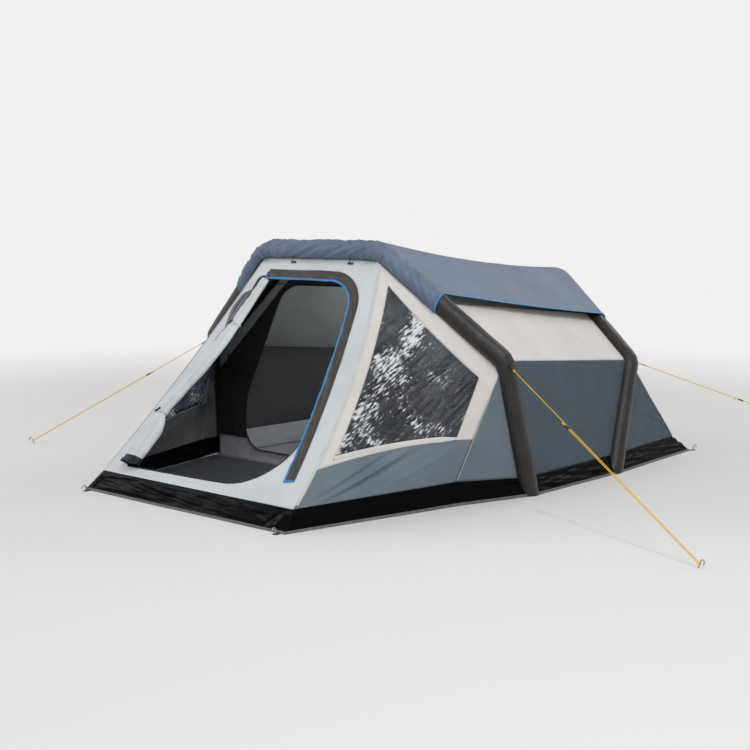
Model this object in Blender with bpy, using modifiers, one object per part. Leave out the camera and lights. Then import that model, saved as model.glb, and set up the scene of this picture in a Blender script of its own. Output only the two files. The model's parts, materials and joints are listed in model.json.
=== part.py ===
# Tunnel tent on two air-tube arches, pitched, with its porch door rolled to the left.
# Metres, +Z up. The origin is on the ground, midway between the feet of the front arch.
# The door looks along -Y, and +X is on the right of someone who walks out of it.

import bpy
import bmesh
import math
from mathutils import Matrix, Vector

# Fits
GAP = 0.0003            # air between pieces that touch
CORE_FRONT = 0.35       # the line inside the tent that every panel's thickness points to
CORE_REAR = 1.30
CORE_HEIGHT = 0.30
SEAM = 0.0010           # air between the edges of two sewn panels
CLOTH = 0.0020          # thickness of a fabric panel with its seams
FILM = 0.0012           # thickness of the clear window film
LINER = 0.0015          # thickness of the inner tent's fabric

# Shares of a panel that stay free at its seams, and how finely folded panels are divided
SEAM_SHARE = 0.0016
FRAME_GAP = 0.020
LOWER_GAP = 0.006
GORE_END = 0.015
GUSSET_START = 0.050
PORCH_COLUMNS = 18
LOWER_ROWS = 6
SKIRT_COLUMNS = 22
SKIRT_ROWS = 5

# Air tubes
TUBE_RADIUS = 0.0575
TUBE_FACETS = 6         # bevel resolution, which gives 16 sides
FRONT_FOOT_X = 1.210
FRONT_KNEE_X = 1.205
FRONT_KNEE_Z = 0.795
FRONT_TOP_X = 0.455
FRONT_TOP_Z = 1.392
FRONT_LEAN = math.tan(math.radians(17.588))  # the front arch leans towards the porch
REAR_FOOT_X = 1.230
REAR_KNEE_X = 1.083
REAR_KNEE_Z = 0.667
REAR_TOP_X = 0.311
REAR_TOP_Z = 1.184
REAR_LEAN = math.tan(math.radians(32.700))   # the rear arch leans towards the back
ARCH_SPACING = 0.897    # between the feet of the two arches

# Outline of the fly at the hem, above the mud skirt
HEM_Z = 0.105
PORCH_HALF = 0.790
PORCH_DEPTH = 1.503     # from the arch feet to the hem of the front wall
FOLD_X = 1.064          # where the porch's stitched fold meets the hem
FOLD_DEPTH = 0.502
FOLD_RISE = 0.026
REAR_HALF = 1.140
REAR_DEPTH = 1.830

# Mud skirt: how far it spreads out on the ground
SKIRT_SPREAD = 0.103
SKIRT_SIDE_SPREAD = 0.043
SKIRT_FOLD_SPREAD = 0.021
SKIRT_LEG_SPREAD = 0.045

# Porch window, in shares of the panel that it is sewn into
WINDOW_FRONT = 0.095
WINDOW_BACK = 0.879
WINDOW_TOP = (0.083, 0.156)      # share at the hip, and its change towards the fold
WINDOW_BOTTOM = (0.833, -0.191)
PANEL_BOTTOM = (0.854, -0.207)
WINDOW_ROWS = 6

# Hollow of the front wall, whose cloth hangs in between the tube and the hem
WALL_SAG = 0.059
WALL_BOW = 0.0475       # of its two hips, outwards, where the wall hangs in most
WALL_ROWS = 8

# Front wall, its door opening and storm flap, on the slope of the wall
DOOR_HEAD = 0.1847      # from the middle of the front tube down to the door's top
DOOR_SILL = 0.057
DOOR_SILL_RISE = 0.015  # of the sill towards its right end
DOOR_LEFT_TOP = 0.060   # cloth between the door's corners and the hips
DOOR_LEFT_FOOT = 0.135
DOOR_RIGHT_TOP = 0.133
DOOR_RIGHT_FOOT = 0.130
DOOR_CROWN_RADIUS = 0.260
DOOR_LIP_RADIUS = 0.390
DOOR_HEEL_RADIUS = 0.040
FLAP_LEFT = 0.072       # from the door's upper left corner to the end of the flap
FLAP_FOOT = 0.155
FLAP_WIDTH = 0.072
FLAP_UNDERLAP = 0.046   # wall under the flap, outside the door opening
ZIP_WIDTH = 0.010
ZIP_THICKNESS = 0.0016
ZIP_INSET = 0.060       # from the door's lower left corner to the end of the zip
SLIDER_LENGTH = 0.022
SLIDER_WIDTH = 0.012
SLIDER_HEIGHT = 0.006

# Rolled door: distance inside the door's left edge, share of the door's height above its
# sill, half its width, and half its height off the wall
ROLL_STATIONS = (
    (0.103, 0.969, 0.030, 0.024),
    (0.098, 0.927, 0.035, 0.028),
    (0.091, 0.836, 0.042, 0.034),
    (0.081, 0.734, 0.047, 0.033),
    (0.078, 0.661, 0.051, 0.038),
    (0.067, 0.576, 0.048, 0.036),
    (0.050, 0.485, 0.049, 0.035),
    (0.023, 0.415, 0.049, 0.032),
    (0.008, 0.345, 0.058, 0.035),
    (-0.010, 0.268, 0.055, 0.030),
    (0.023, 0.226, 0.070, 0.039),
    (0.052, 0.170, 0.087, 0.044),
    (0.062, 0.114, 0.085, 0.043),
    (0.074, 0.072, 0.081, 0.041),
    (0.076, 0.034, 0.070, 0.035),
    (0.078, 0.012, 0.066, 0.033),
)
ROLL_EDGE = math.radians(62)     # where the outer turn of the roll ends, round from its right
ROLL_TURN = 0.0040      # how far the outer turn stands above the next
ROLL_CREASE = 0.0030    # depth of the creases along the roll
ROLL_WAVES = (3, 11, 2, 7)      # two crossing creases: waves round the roll, radians per metre along it
ROLL_COLUMNS = 26
ROLL_RINGS = 2
TOGGLE_STATIONS = (3, 9)
BAND_WIDTH = 0.044      # where an elastic band draws the roll in under a toggle
TOGGLE_LENGTH = 0.040
TOGGLE_RADIUS = 0.0055
TOGGLE_WAIST = 0.0040
TOGGLE_TURN = math.radians(47)   # of a toggle on the roll, from across the wall to up it
TIE_PLACES = (-0.203, 0.266)
TIE_DROP = 0.028        # from the cover's edge to the middle of a tie

# Roof cover: where it ends on the shoulders, and how far it wraps the tubes
COVER_END = 0.465       # share of the shoulder that it reaches down
COVER_REAR_END = 0.55
COVER_MARGIN = math.radians(13)  # from the cover's edge round the tube to the wall's cloth
COVER_STEPS = 7
COVER_SPAN = (0.1, 0.25, 0.4, 0.5, 0.6, 0.75, 0.9)
COVER_SLACK = 0.0030     # between the tubes and the cover that is drawn over them
COVER_SAG = 0.034       # midway between the arches
COVER_SHOULDER_SAG = 0.009
KNEE_REACH = 0.001      # share of a straight within which a place counts as its end

# Folds drawn in the cloth: where each starts and ends across and down its panel, its rise,
# and half its width, all in metres
LOWER_FOLDS = (
    (0.15, 0.28, 0.60, 0.03, 0.015, 0.022),
    (0.11, 0.26, 0.52, 0.03, -0.010, 0.018),
    (0.20, 0.28, 0.70, 0.04, -0.007, 0.024),
)
FRONT_SKIRT_FOLDS = (
    (0.06, 0.12, 0.90, 0.09, 0.009, 0.024),
    (0.30, 0.06, 1.15, 0.12, -0.006, 0.022),
    (0.80, 0.08, 1.56, 0.14, 0.010, 0.022),
    (1.20, 0.02, 1.60, 0.17, -0.006, 0.020),
)
PORCH_SKIRT_FOLDS = (
    (0.02, 0.02, 0.34, 0.13, 0.008, 0.020),
    (0.12, 0.05, 0.80, 0.10, -0.005, 0.022),
    (0.45, 0.04, 1.00, 0.12, 0.007, 0.024),
)
FOLD_HOLD = 0.030       # from a seam to where a fold has its full rise

# Inner tent
INNER_FRONT = 0.330     # ahead of the arch feet
INNER_FLOOR_X = 1.090
INNER_KNEE_X = 1.060
INNER_KNEE_Z = 0.700
INNER_TOP_X = 0.410
INNER_TOP_Z = 1.270
INNER_REAR = 1.600
INNER_REAR_LEAN = math.tan(math.radians(6.843))
INNER_REAR_FLOOR_X = 1.020
INNER_REAR_KNEE_X = 0.880
INNER_REAR_KNEE_Z = 0.560
INNER_REAR_TOP_X = 0.270
INNER_REAR_TOP_Z = 1.050
TUB_HEIGHT = 0.150
INNER_DOOR = (          # across, height, corner radius
    (-0.835, 0.080, 0.150),
    (-0.800, 0.440, 0.220),
    (-0.440, 1.172, 0.220),
    (0.500, 1.180, 0.260),
    (0.560, 0.080, 0.180),
)
GROUNDSHEET_FRONT = 1.440
GROUNDSHEET_FRONT_HALF = 0.760
GROUNDSHEET_REAR_HALF = 1.000
GROUNDSHEET_CLEARANCE = 0.012

# Valves on the left legs
VALVE_HEIGHT = 0.200
VALVE_FLANGE_RADIUS = 0.024
VALVE_STEM_RADIUS = 0.0135
VALVE_RISE = 0.014      # stem above the tube
CAP_RADIUS = 0.0165
CAP_HEIGHT = 0.009

# Guy lines and pegs
CORD_RADIUS = 0.00225
TAB_REACH = 0.035
TAB_WIDTH = 0.022
TAB_THICKNESS = 0.0030
TAB_SINK = 0.012        # of tabs and rings into the piece that they are sewn to
PEG_RADIUS = 0.0030
PEG_LENGTH = 0.180
PEG_HOOK_RADIUS = 0.011
PEG_HOOK_DROP = 0.010
PEG_HEAD = 0.020        # from the cord to where the hook starts
LOOP_HEIGHT = 0.018
RUNNER_LENGTH = 0.032
RUNNER_THICKNESS = 0.009
RUNNER_MARGIN = 0.005
RUNNER_CLEARANCE = 0.0005
TAIL_LENGTH = 0.030
GUYS = {                # peg across, peg along, share of the line down to the runner
    "front_right": (2.690, -0.800, 0.338),
    "front_left": (-2.440, -0.890, 0.315),
    "rear_right": (2.446, 2.500, 0.378),
    "rear_left": (-2.446, 2.500, 0.378),
}
RING_RADIUS = 0.015
RING_THICKNESS = 0.0030
RING_REACH = 0.026
RING_CLEARANCE = 0.0015
CORNER_PEG_HEAD = 0.022
RING_INSET = 0.040      # from the front corner to the ring on the front skirt

COLOURS = {
    "tube": (0.020, 0.017, 0.016), "roof": (0.13, 0.17, 0.24), "pale": (0.58, 0.61, 0.62),
    "warm": (0.62, 0.60, 0.57), "slate": (0.075, 0.10, 0.13), "grey": (0.15, 0.18, 0.21),
    "skirt": (0.010, 0.010, 0.012), "film": (0.45, 0.52, 0.58), "flap": (0.07, 0.055, 0.05),
    "liner": (0.14, 0.15, 0.15), "mesh": (0.012, 0.012, 0.012), "tub": (0.10, 0.10, 0.11),
    "cord": (0.72, 0.48, 0.02), "steel": (0.55, 0.55, 0.56), "plastic": (0.02, 0.02, 0.02),
}


# The scene is emptied, and the parts and the cutters get a collection each
for old in list(bpy.data.objects):
    bpy.data.objects.remove(old)
parts = bpy.data.collections.new("tunnel_tent")
cutters = bpy.data.collections.new("cutters")
bpy.context.scene.collection.children.link(parts)
bpy.context.scene.collection.children.link(cutters)


def material(name, colour, roughness=0.8, metallic=0.0):
    made = bpy.data.materials.new(name)
    made.use_nodes = True
    shader = made.node_tree.nodes["Principled BSDF"]
    shader.inputs["Base Color"].default_value = (*COLOURS[colour], 1.0)
    shader.inputs["Roughness"].default_value = roughness
    shader.inputs["Metallic"].default_value = metallic
    return made


def place(name, data, colour, roughness=0.8, metallic=0.0, matrix=None):
    piece = bpy.data.objects.new(name, data)
    data.materials.append(material(name + "_finish", colour, roughness, metallic))
    if matrix is not None:
        piece.matrix_world = matrix
    parts.objects.link(piece)
    return piece


def as_cutter(piece):
    for owner in list(piece.users_collection):
        owner.objects.unlink(piece)
    cutters.objects.link(piece)
    piece.hide_render = True
    piece.display_type = "WIRE"
    return piece


def boolean(piece, cutter, operation="DIFFERENCE"):
    modifier = piece.modifiers.new(operation.lower(), "BOOLEAN")
    modifier.operation = operation
    modifier.object = cutter
    modifier.solver = "EXACT"


def mirror(point):
    return Vector((-point.x, point.y, point.z))


def between(a, b, share):
    return a + (b - a) * share


def clamp(value, low, high):
    return max(low, min(high, value))


def along(points, place_on):
    index = int(clamp(math.floor(place_on), 0, len(points) - 2))
    return between(points[index], points[index + 1], place_on - index)


def inward(point, thickness=CLOTH):
    # Every panel gets its thickness towards the same line, so neighbours meet in a mitre
    middle = Vector((0, clamp(point.y, -CORE_FRONT, CORE_REAR), CORE_HEIGHT))
    return point + (middle - point).normalized() * thickness


def face_outward(bm):
    bmesh.ops.recalc_face_normals(bm, faces=bm.faces[:])
    if bm.calc_volume(signed=True) < 0:
        bmesh.ops.reverse_faces(bm, faces=bm.faces[:])


def mesh_from(bm, name):
    mesh = bpy.data.meshes.new(name)
    face_outward(bm)
    bm.to_mesh(mesh)
    bm.free()
    return mesh


def panel(name, outer, lines_s, lines_t, colour, inner=None, hole=None, roughness=0.8, side=1):
    """A sheet of fabric between the surfaces outer(s, t) and inner(s, t)."""
    if inner is None:
        inner = lambda s, t: inward(outer(s, t))
    across, down = len(lines_s) - 1, len(lines_t) - 1
    bm = bmesh.new()
    bmesh.ops.create_grid(bm, x_segments=across, y_segments=down, size=1.0)
    for vert in bm.verts:
        i = round((vert.co.x + 1) / 2 * across)
        j = round((vert.co.y + 1) / 2 * down)
        vert.co = (i, j, 0)
    if hole:
        i0, i1, j0, j1 = hole
        cut = [face for face in bm.faces
               if i0 < face.calc_center_median().x < i1 and j0 < face.calc_center_median().y < j1]
        bmesh.ops.delete(bm, geom=cut, context="FACES")
    grown = bmesh.ops.extrude_face_region(bm, geom=bm.faces[:], use_keep_orig=True)["geom"]
    for element in grown:
        if isinstance(element, bmesh.types.BMVert):
            element.co.z = 1
    for vert in bm.verts:
        s, t = lines_s[round(vert.co.x)], lines_t[round(vert.co.y)]
        point = inner(s, t) if vert.co.z > 0.5 else outer(s, t)
        vert.co = point if side > 0 else mirror(point)
    # The skins are twisted, so their faces are split into flat ones before anything cuts them
    bmesh.ops.triangulate(bm, faces=bm.faces[:])
    return place(name, mesh_from(bm, name), colour, roughness)


def drawn(surface, width, height, folds, first_t=0.0, last_t=1.0):
    """The same surface with its folds, held still along its four seams."""
    def folded(s, t):
        u, v = s * width, (t - first_t) / (last_t - first_t) * height
        rise = 0.0
        for u0, v0, u1, v1, depth, half in folds:
            du, dv = u1 - u0, v1 - v0
            length = math.hypot(du, dv)
            share = ((u - u0) * du + (v - v0) * dv) / length ** 2
            side = ((u - u0) * dv - (v - v0) * du) / length
            rise += depth * math.sin(math.pi * clamp(share, 0, 1)) * math.exp(-(side / half) ** 2)
        hold = clamp(min(u, width - u, v, height - v) / FOLD_HOLD, 0, 1)
        point = surface(s, t)
        lifted = inward(point, -rise * hold * hold * (3 - 2 * hold))
        return Vector((lifted.x, lifted.y, max(lifted.z, point.z) if point.z < HEM_Z / 2 else lifted.z))
    return folded


def tube(points, radius, resolution=2, radii=None):
    data = bpy.data.curves.new("route", "CURVE")
    data.dimensions = "3D"
    data.bevel_depth = radius
    data.bevel_resolution = resolution
    data.use_fill_caps = True
    spline = data.splines.new("POLY")
    spline.points.add(len(points) - 1)
    for index, point in enumerate(points):
        spline.points[index].co = (*point, 1)
        if radii:
            spline.points[index].radius = radii[index] / radius
    return data


def flat(outlines, thickness):
    """A flat piece with its outline on the local XY plane, and holes as further outlines."""
    data = bpy.data.curves.new("outline", "CURVE")
    data.dimensions = "2D"
    data.fill_mode = "BOTH"
    data.extrude = thickness / 2
    for outline in outlines:
        spline = data.splines.new("POLY")
        spline.points.add(len(outline) - 1)
        for index, point in enumerate(outline):
            spline.points[index].co = (point[0], point[1], 0, 1)
        spline.use_cyclic_u = True
    return data


def meshed(curve, matrix=None):
    """The evaluated mesh of a curve, welded, with its place applied."""
    holder = bpy.data.objects.new("holder", curve)
    cutters.objects.link(holder)
    if matrix is not None:
        holder.matrix_world = matrix
    bpy.context.view_layer.update()
    graph = bpy.context.evaluated_depsgraph_get()
    mesh = bpy.data.meshes.new_from_object(holder.evaluated_get(graph))
    mesh.transform(holder.matrix_world)
    bpy.data.objects.remove(holder)
    bm = bmesh.new()
    bm.from_mesh(mesh)
    bmesh.ops.remove_doubles(bm, verts=bm.verts[:], dist=0.000001)
    face_outward(bm)
    bm.to_mesh(mesh)
    bm.free()
    mesh.materials.clear()
    return mesh


def rounded(corners, steps=8):
    """An outline from corners of (x, y, radius), each corner as an arc."""
    outline = []
    count = len(corners)
    for index, (x, y, radius) in enumerate(corners):
        corner = Vector((x, y))
        if radius <= 0:
            outline.append((x, y))
            continue
        back = (Vector(corners[index - 1][:2]) - corner).normalized()
        ahead = (Vector(corners[(index + 1) % count][:2]) - corner).normalized()
        half = math.acos(clamp(back.dot(ahead), -1, 1)) / 2
        reach = radius / math.tan(half)
        middle = corner + (back + ahead).normalized() * radius / math.sin(half)
        start = corner + back * reach - middle
        end = corner + ahead * reach - middle
        turn = math.copysign(math.pi - 2 * half, start.x * end.y - start.y * end.x)
        for step in range(steps + 1):
            angle = turn * step / steps
            outline.append((middle.x + start.x * math.cos(angle) - start.y * math.sin(angle),
                            middle.y + start.x * math.sin(angle) + start.y * math.cos(angle)))
    return outline


def offset_path(path, distance):
    """An open path moved sideways, to the right of its direction, by distance."""
    moved = []
    for index, point in enumerate(path):
        here = Vector(point)
        legs = []
        if index > 0:
            legs.append((here - Vector(path[index - 1])).normalized())
        if index < len(path) - 1:
            legs.append((Vector(path[index + 1]) - here).normalized())
        normals = [Vector((leg.y, -leg.x)) for leg in legs]
        if len(normals) == 2:
            mitre = (normals[0] + normals[1]) / (1 + normals[0].dot(normals[1]))
        else:
            mitre = normals[0]
        moved.append(tuple(here + mitre * distance))
    return moved


def turned(name, profile, matrix, colour, roughness=0.5, metallic=0.0, steps=24):
    """A turned piece: profile of (radius, height) from the top centre down to the bottom centre."""
    bm = bmesh.new()
    verts = [bm.verts.new((radius, 0, height)) for radius, height in profile]
    for a, b in zip(verts, verts[1:]):
        bm.edges.new((a, b))
    mesh = bpy.data.meshes.new(name)
    bm.to_mesh(mesh)
    bm.free()
    piece = place(name, mesh, colour, roughness, metallic, matrix)
    screw = piece.modifiers.new("turn", "SCREW")
    screw.steps = steps
    screw.render_steps = steps
    screw.use_merge_vertices = True
    screw.merge_threshold = 0.00001
    return piece


def axes(origin, x_axis, z_axis):
    z = z_axis.normalized()
    x = (x_axis - x_axis.dot(z) * z).normalized()
    y = z.cross(x)
    matrix = Matrix((x, y, z)).transposed().to_4x4()
    matrix.translation = origin
    return matrix


# Corners of the frame and of the fly, on the right side
def leaning(x, z, lean, foot_y):
    return Vector((x, foot_y + lean * z, z))


front_foot = leaning(FRONT_FOOT_X, 0, -FRONT_LEAN, 0)
front_knee = leaning(FRONT_KNEE_X, FRONT_KNEE_Z, -FRONT_LEAN, 0)
front_top = leaning(FRONT_TOP_X, FRONT_TOP_Z, -FRONT_LEAN, 0)
rear_foot = leaning(REAR_FOOT_X, 0, REAR_LEAN, ARCH_SPACING)
rear_knee = leaning(REAR_KNEE_X, REAR_KNEE_Z, REAR_LEAN, ARCH_SPACING)
rear_top = leaning(REAR_TOP_X, REAR_TOP_Z, REAR_LEAN, ARCH_SPACING)
front_line = [mirror(front_foot), mirror(front_knee), mirror(front_top),
              front_top, front_knee, front_foot]
rear_line = [mirror(rear_foot), mirror(rear_knee), mirror(rear_top),
             rear_top, rear_knee, rear_foot]
arch_middle = (len(front_line) - 1) / 2      # counted in straights from the left foot
porch_corner = Vector((PORCH_HALF, -PORCH_DEPTH, HEM_Z))
fold_foot = Vector((FOLD_X, -FOLD_DEPTH, HEM_Z + FOLD_RISE))
front_hem = between(front_foot, front_knee, HEM_Z / FRONT_KNEE_Z)
rear_hem = between(rear_foot, rear_knee, HEM_Z / REAR_KNEE_Z)
rear_corner = Vector((REAR_HALF, REAR_DEPTH, HEM_Z))


# Places on the front wall: x across, v up the slope, h out of the cloth
wall_up = (Vector((0, front_top.y, front_top.z)) - Vector((0, -PORCH_DEPTH, HEM_Z)))
wall_length = wall_up.length
wall_up = wall_up.normalized()
wall_out = Vector((1, 0, 0)).cross(wall_up)
wall_frame = axes(Vector((0, -PORCH_DEPTH, HEM_Z)), Vector((1, 0, 0)), wall_out)


wall_stops = [wall_length * row / WALL_ROWS for row in range(WALL_ROWS + 1)]
hollows = [4 * row / WALL_ROWS * (1 - row / WALL_ROWS) for row in range(WALL_ROWS + 1)]


def hollow(v):
    """Share of the full sag at a place up the wall, with straight cloth between its rows."""
    return along(hollows, clamp(v / wall_length, 0, 1) * WALL_ROWS)


def on_wall(x, v, h=0.0):
    return wall_frame @ Vector((x, v, h - WALL_SAG * hollow(v)))


def facet_out(v):
    """The direction square to the straight cloth between two rows of the wall."""
    row = int(v / wall_length * WALL_ROWS)
    return Vector((1, 0, 0)).cross(on_wall(0, wall_stops[row + 1]) - on_wall(0, wall_stops[row])).normalized()


def wall_half(v):
    """Half the width of the front wall at a place up its slope."""
    return PORCH_HALF + (FRONT_TOP_X - PORCH_HALF) * v / wall_length + WALL_BOW * hollow(v)


def front_sheet(s, t):
    v = wall_length * (1 - t)
    return on_wall((2 * s - 1) * wall_half(v), v)


def porch_skin(s, t):
    return between(front_sheet(1, t), between(front_knee, fold_foot, t), s)


door_top = wall_length - DOOR_HEAD
door_right_sill = DOOR_SILL + DOOR_SILL_RISE
door_left_top = DOOR_LEFT_TOP - wall_half(door_top)
door_left_foot = DOOR_LEFT_FOOT - wall_half(DOOR_SILL)
door_right_top = wall_half(door_top) - DOOR_RIGHT_TOP
door_right_foot = wall_half(DOOR_SILL) - DOOR_RIGHT_FOOT
flap_left = door_left_top + FLAP_LEFT


# Air-tube arches, standing flat on the ground
def arch_path(line):
    """The arch's route, run on below the ground so that the feet can be cut level."""
    return ([line[0] + (line[0] - line[1]) * 0.1] + line[1:-1]
            + [line[-1] + (line[-1] - line[-2]) * 0.1])


def arch_cutter(name, line):
    return as_cutter(place(name, meshed(tube(arch_path(line), TUBE_RADIUS + GAP, TUBE_FACETS)), "tube"))


front_space = arch_cutter("front_arch_space", front_line)
rear_space = arch_cutter("rear_arch_space", rear_line)

bm = bmesh.new()
bmesh.ops.create_cube(bm, size=1.0)
for vert in bm.verts:
    vert.co = (vert.co.x * 4, vert.co.y * 4 + 0.5, vert.co.z - 0.5)
ground_block = as_cutter(place("ground_block", mesh_from(bm, "ground_block"), "grey"))


def guy_line(knee, peg_x, peg_y):
    """Start, direction, sideways direction and peg centre of a guy line from an arch's knee."""
    peg = Vector((peg_x, peg_y, LOOP_HEIGHT))
    plan = (peg - knee) * Vector((1, 1, 0))
    aside = Vector((0, 0, 1)).cross(plan).normalized()
    bend = PEG_RADIUS + CORD_RADIUS + GAP
    direction = (peg + aside * bend - knee).normalized()
    aside = (aside - aside.dot(direction) * direction).normalized()
    start = knee + direction * (TUBE_RADIUS + TAB_REACH + GAP)
    return start, direction, aside, peg, bend


knees = {"front_right": front_knee, "front_left": mirror(front_knee),
         "rear_right": rear_knee, "rear_left": mirror(rear_knee)}
guys = {side: guy_line(knees[side], x, y) for side, (x, y, share) in GUYS.items()}


def arch(name, line, sides):
    piece = place(name, meshed(tube(arch_path(line), TUBE_RADIUS, TUBE_FACETS)), "tube", 0.45)
    boolean(piece, ground_block)
    # A webbing tab is sewn to each knee, and the guy line is tied to it
    for side in sides:
        start, direction, aside, peg, bend = guys[side]
        length = TAB_REACH + TAB_SINK
        bm = bmesh.new()
        bmesh.ops.create_cube(bm, size=1.0)
        for vert in bm.verts:
            vert.co = (vert.co.x * length, vert.co.y * TAB_WIDTH, vert.co.z * TAB_THICKNESS)
        bmesh.ops.transform(bm, verts=bm.verts[:], matrix=axes(
            start - direction * (GAP + length / 2), direction, direction.cross(aside)))
        tab = as_cutter(place(side + "_tab", mesh_from(bm, side + "_tab"), "tube"))
        boolean(piece, tab, "UNION")
    return piece


arch("front_arch", front_line, ("front_right", "front_left"))
arch("rear_arch", rear_line, ("rear_right", "rear_left"))


# Inflation valves on the outside of the left legs
def valve(name, line):
    foot, knee = line[0], line[1]
    centre = between(foot, knee, VALVE_HEIGHT / knee.z)
    leg = (knee - foot).normalized()
    out = Vector((-1, 0, 0))
    out = (out - out.dot(leg) * leg).normalized()
    rise = TUBE_RADIUS + VALVE_RISE
    matrix = axes(centre, leg, out)
    body = turned(name, (
        (0, rise), (VALVE_STEM_RADIUS - 0.001, rise), (VALVE_STEM_RADIUS, rise - 0.001),
        (VALVE_STEM_RADIUS, TUBE_RADIUS + 0.004), (VALVE_FLANGE_RADIUS, TUBE_RADIUS + 0.0025),
        (VALVE_FLANGE_RADIUS, TUBE_RADIUS - 0.012), (0, TUBE_RADIUS - 0.012)),
        matrix, "plastic", 0.4)
    boolean(body, front_space if line is front_line else rear_space)
    floor = rise + GAP
    turned(name + "_cap", (
        (0, floor + CAP_HEIGHT), (CAP_RADIUS - 0.002, floor + CAP_HEIGHT),
        (CAP_RADIUS, floor + CAP_HEIGHT - 0.002), (CAP_RADIUS, floor - 0.005),
        (VALVE_STEM_RADIUS + 0.0008, floor - 0.005), (VALVE_STEM_RADIUS + 0.0008, floor),
        (0, floor)), matrix, "plastic", 0.4)


valve("front_valve", front_line)
valve("rear_valve", rear_line)


# Cabin: one ruled skin between the arches, cut into its sewn panels
def cabin(w, q):
    return between(along(front_line, w), along(rear_line, w), q)


def shares(first, last, count):
    return [first + (last - first) * index / count for index in range(count + 1)]


def seat_on_arches(piece, spaces):
    for space in spaces:
        boolean(piece, space)


edge = SEAM / 2
cover_w = 3 + COVER_END
roof_lines = [5 - cover_w + 0.001, 1.75, 2.0, 2.5, 3.0, 3.25, cover_w - 0.001]
seat_on_arches(panel("cabin_roof", cabin, roof_lines, shares(0, 1, 4), "pale"),
               (front_space, rear_space))
for side, hand in (("right", 1), ("left", -1)):
    upper = panel("side_upper_" + side, cabin, shares(cover_w + edge, 4 - edge, 2),
                  shares(0, 1, 4), "warm", side=hand)
    seat_on_arches(upper, (front_space, rear_space))

    def lower_side(s, t):
        return between(between(front_knee, front_hem, t), between(rear_knee, rear_hem, t), s)

    lower = panel("side_lower_" + side, lower_side, shares(0, 1, 4), shares(edge, 1 - edge, 2),
                  "slate", side=hand)
    seat_on_arches(lower, (front_space, rear_space))


# Roof cover: wraps the front tube, runs back over the cabin and wraps the rear tube
def cross_section(line, other, index):
    """Backward and outward directions square to one straight of an arch."""
    tangent = (line[index + 1] - line[index]).normalized()
    back = other[index] - line[index]
    back = (back - back.dot(tangent) * tangent).normalized()
    out = back.cross(tangent)
    if out.z < 0:
        out = -out
    return back, out


def mitred(line, other, w):
    """The same directions anywhere on the arch, stretched at a knee so that the wrap closes."""
    index = int(clamp(math.floor(w), 0, len(line) - 2))
    back, out = cross_section(line, other, index)
    if abs(w - round(w)) < KNEE_REACH and 0 < round(w) < len(line) - 1:
        knee = round(w)
        back_a, out_a = cross_section(line, other, knee - 1)
        back_b, out_b = cross_section(line, other, knee)
        out = (out_a + out_b) / (1 + out_a.dot(out_b))
        back = (back_a + back_b).normalized()
    return back, out


def wrap_angle(line, other, w, ways):
    """How far round the tube the cover goes: up to the cloth that leaves it, less a margin."""
    back, out = mitred(line, other, w)
    return max(math.atan2(way.dot(out), -way.dot(back)) for way in ways) + COVER_MARGIN


def walls_at(w):
    """Directions in which the porch's and the rear's cloth leave the tubes at a place w."""
    beyond = abs(w - arch_middle) - 0.5
    front_ways, rear_ways = [], []
    first = 1 / WALL_ROWS
    if beyond < KNEE_REACH:
        front_ways.append(front_sheet(0.5, first) - front_sheet(0.5, 0))
        rear_ways.append(rear_corner - rear_top - Vector((REAR_HALF - REAR_TOP_X, 0, 0)))
    if beyond > -KNEE_REACH:
        ways = (porch_skin(beyond, first) - porch_skin(beyond, 0),
                rear_corner - between(rear_top, rear_knee, beyond))
        if w < arch_middle:
            ways = [mirror(way) for way in ways]
        front_ways.append(ways[0])
        rear_ways.append(ways[1])
    return front_ways, rear_ways


def wrap(line, other, w, centre, ways, extra):
    """Points round a tube, from the cover's edge to the top of the tube."""
    start = wrap_angle(line, other, w, ways)
    step = (math.pi / 2 - start) / COVER_STEPS
    radius = (TUBE_RADIUS + COVER_SLACK) / math.cos(step / 2) + extra
    back, out = mitred(line, other, w)
    angles = [start + step * turn for turn in range(COVER_STEPS + 1)]
    return [centre + (out * math.sin(angle) - back * math.cos(angle)) * radius for angle in angles]


def cover_profile(w, extra):
    front, rear = along(front_line, w), along(rear_line, w)
    beyond = max(0, abs(w - arch_middle) - 0.5)
    slip = beyond / COVER_END * (COVER_REAR_END - COVER_END)
    rear = along(rear_line, w + math.copysign(slip, w - arch_middle))
    front_ways, rear_ways = walls_at(w)
    over_front = wrap(front_line, rear_line, w, front, front_ways, extra)
    over_rear = wrap(rear_line, front_line, w, rear, rear_ways, extra)[::-1]
    slack = COVER_SAG + (COVER_SHOULDER_SAG - COVER_SAG) * min(1, 2 * beyond)
    span = [between(over_front[-1], over_rear[0], share) - Vector((0, 0, 4 * slack * share * (1 - share)))
            for share in COVER_SPAN]
    return over_front + span + over_rear


cover_lines = [5 - cover_w, 1.75, 1.92, 2.0, 2.08, 2.25, 2.5, 2.75, 2.92, 3.0, 3.08, 3.25, cover_w]
cover_inside = {w: cover_profile(w, 0.0) for w in cover_lines}
cover_outside = {w: cover_profile(w, CLOTH) for w in cover_lines}
panel("roof_cover", lambda w, k: cover_outside[w][k], cover_lines,
      list(range(len(cover_inside[cover_w]))), "roof", inner=lambda w, k: cover_inside[w][k])


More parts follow.
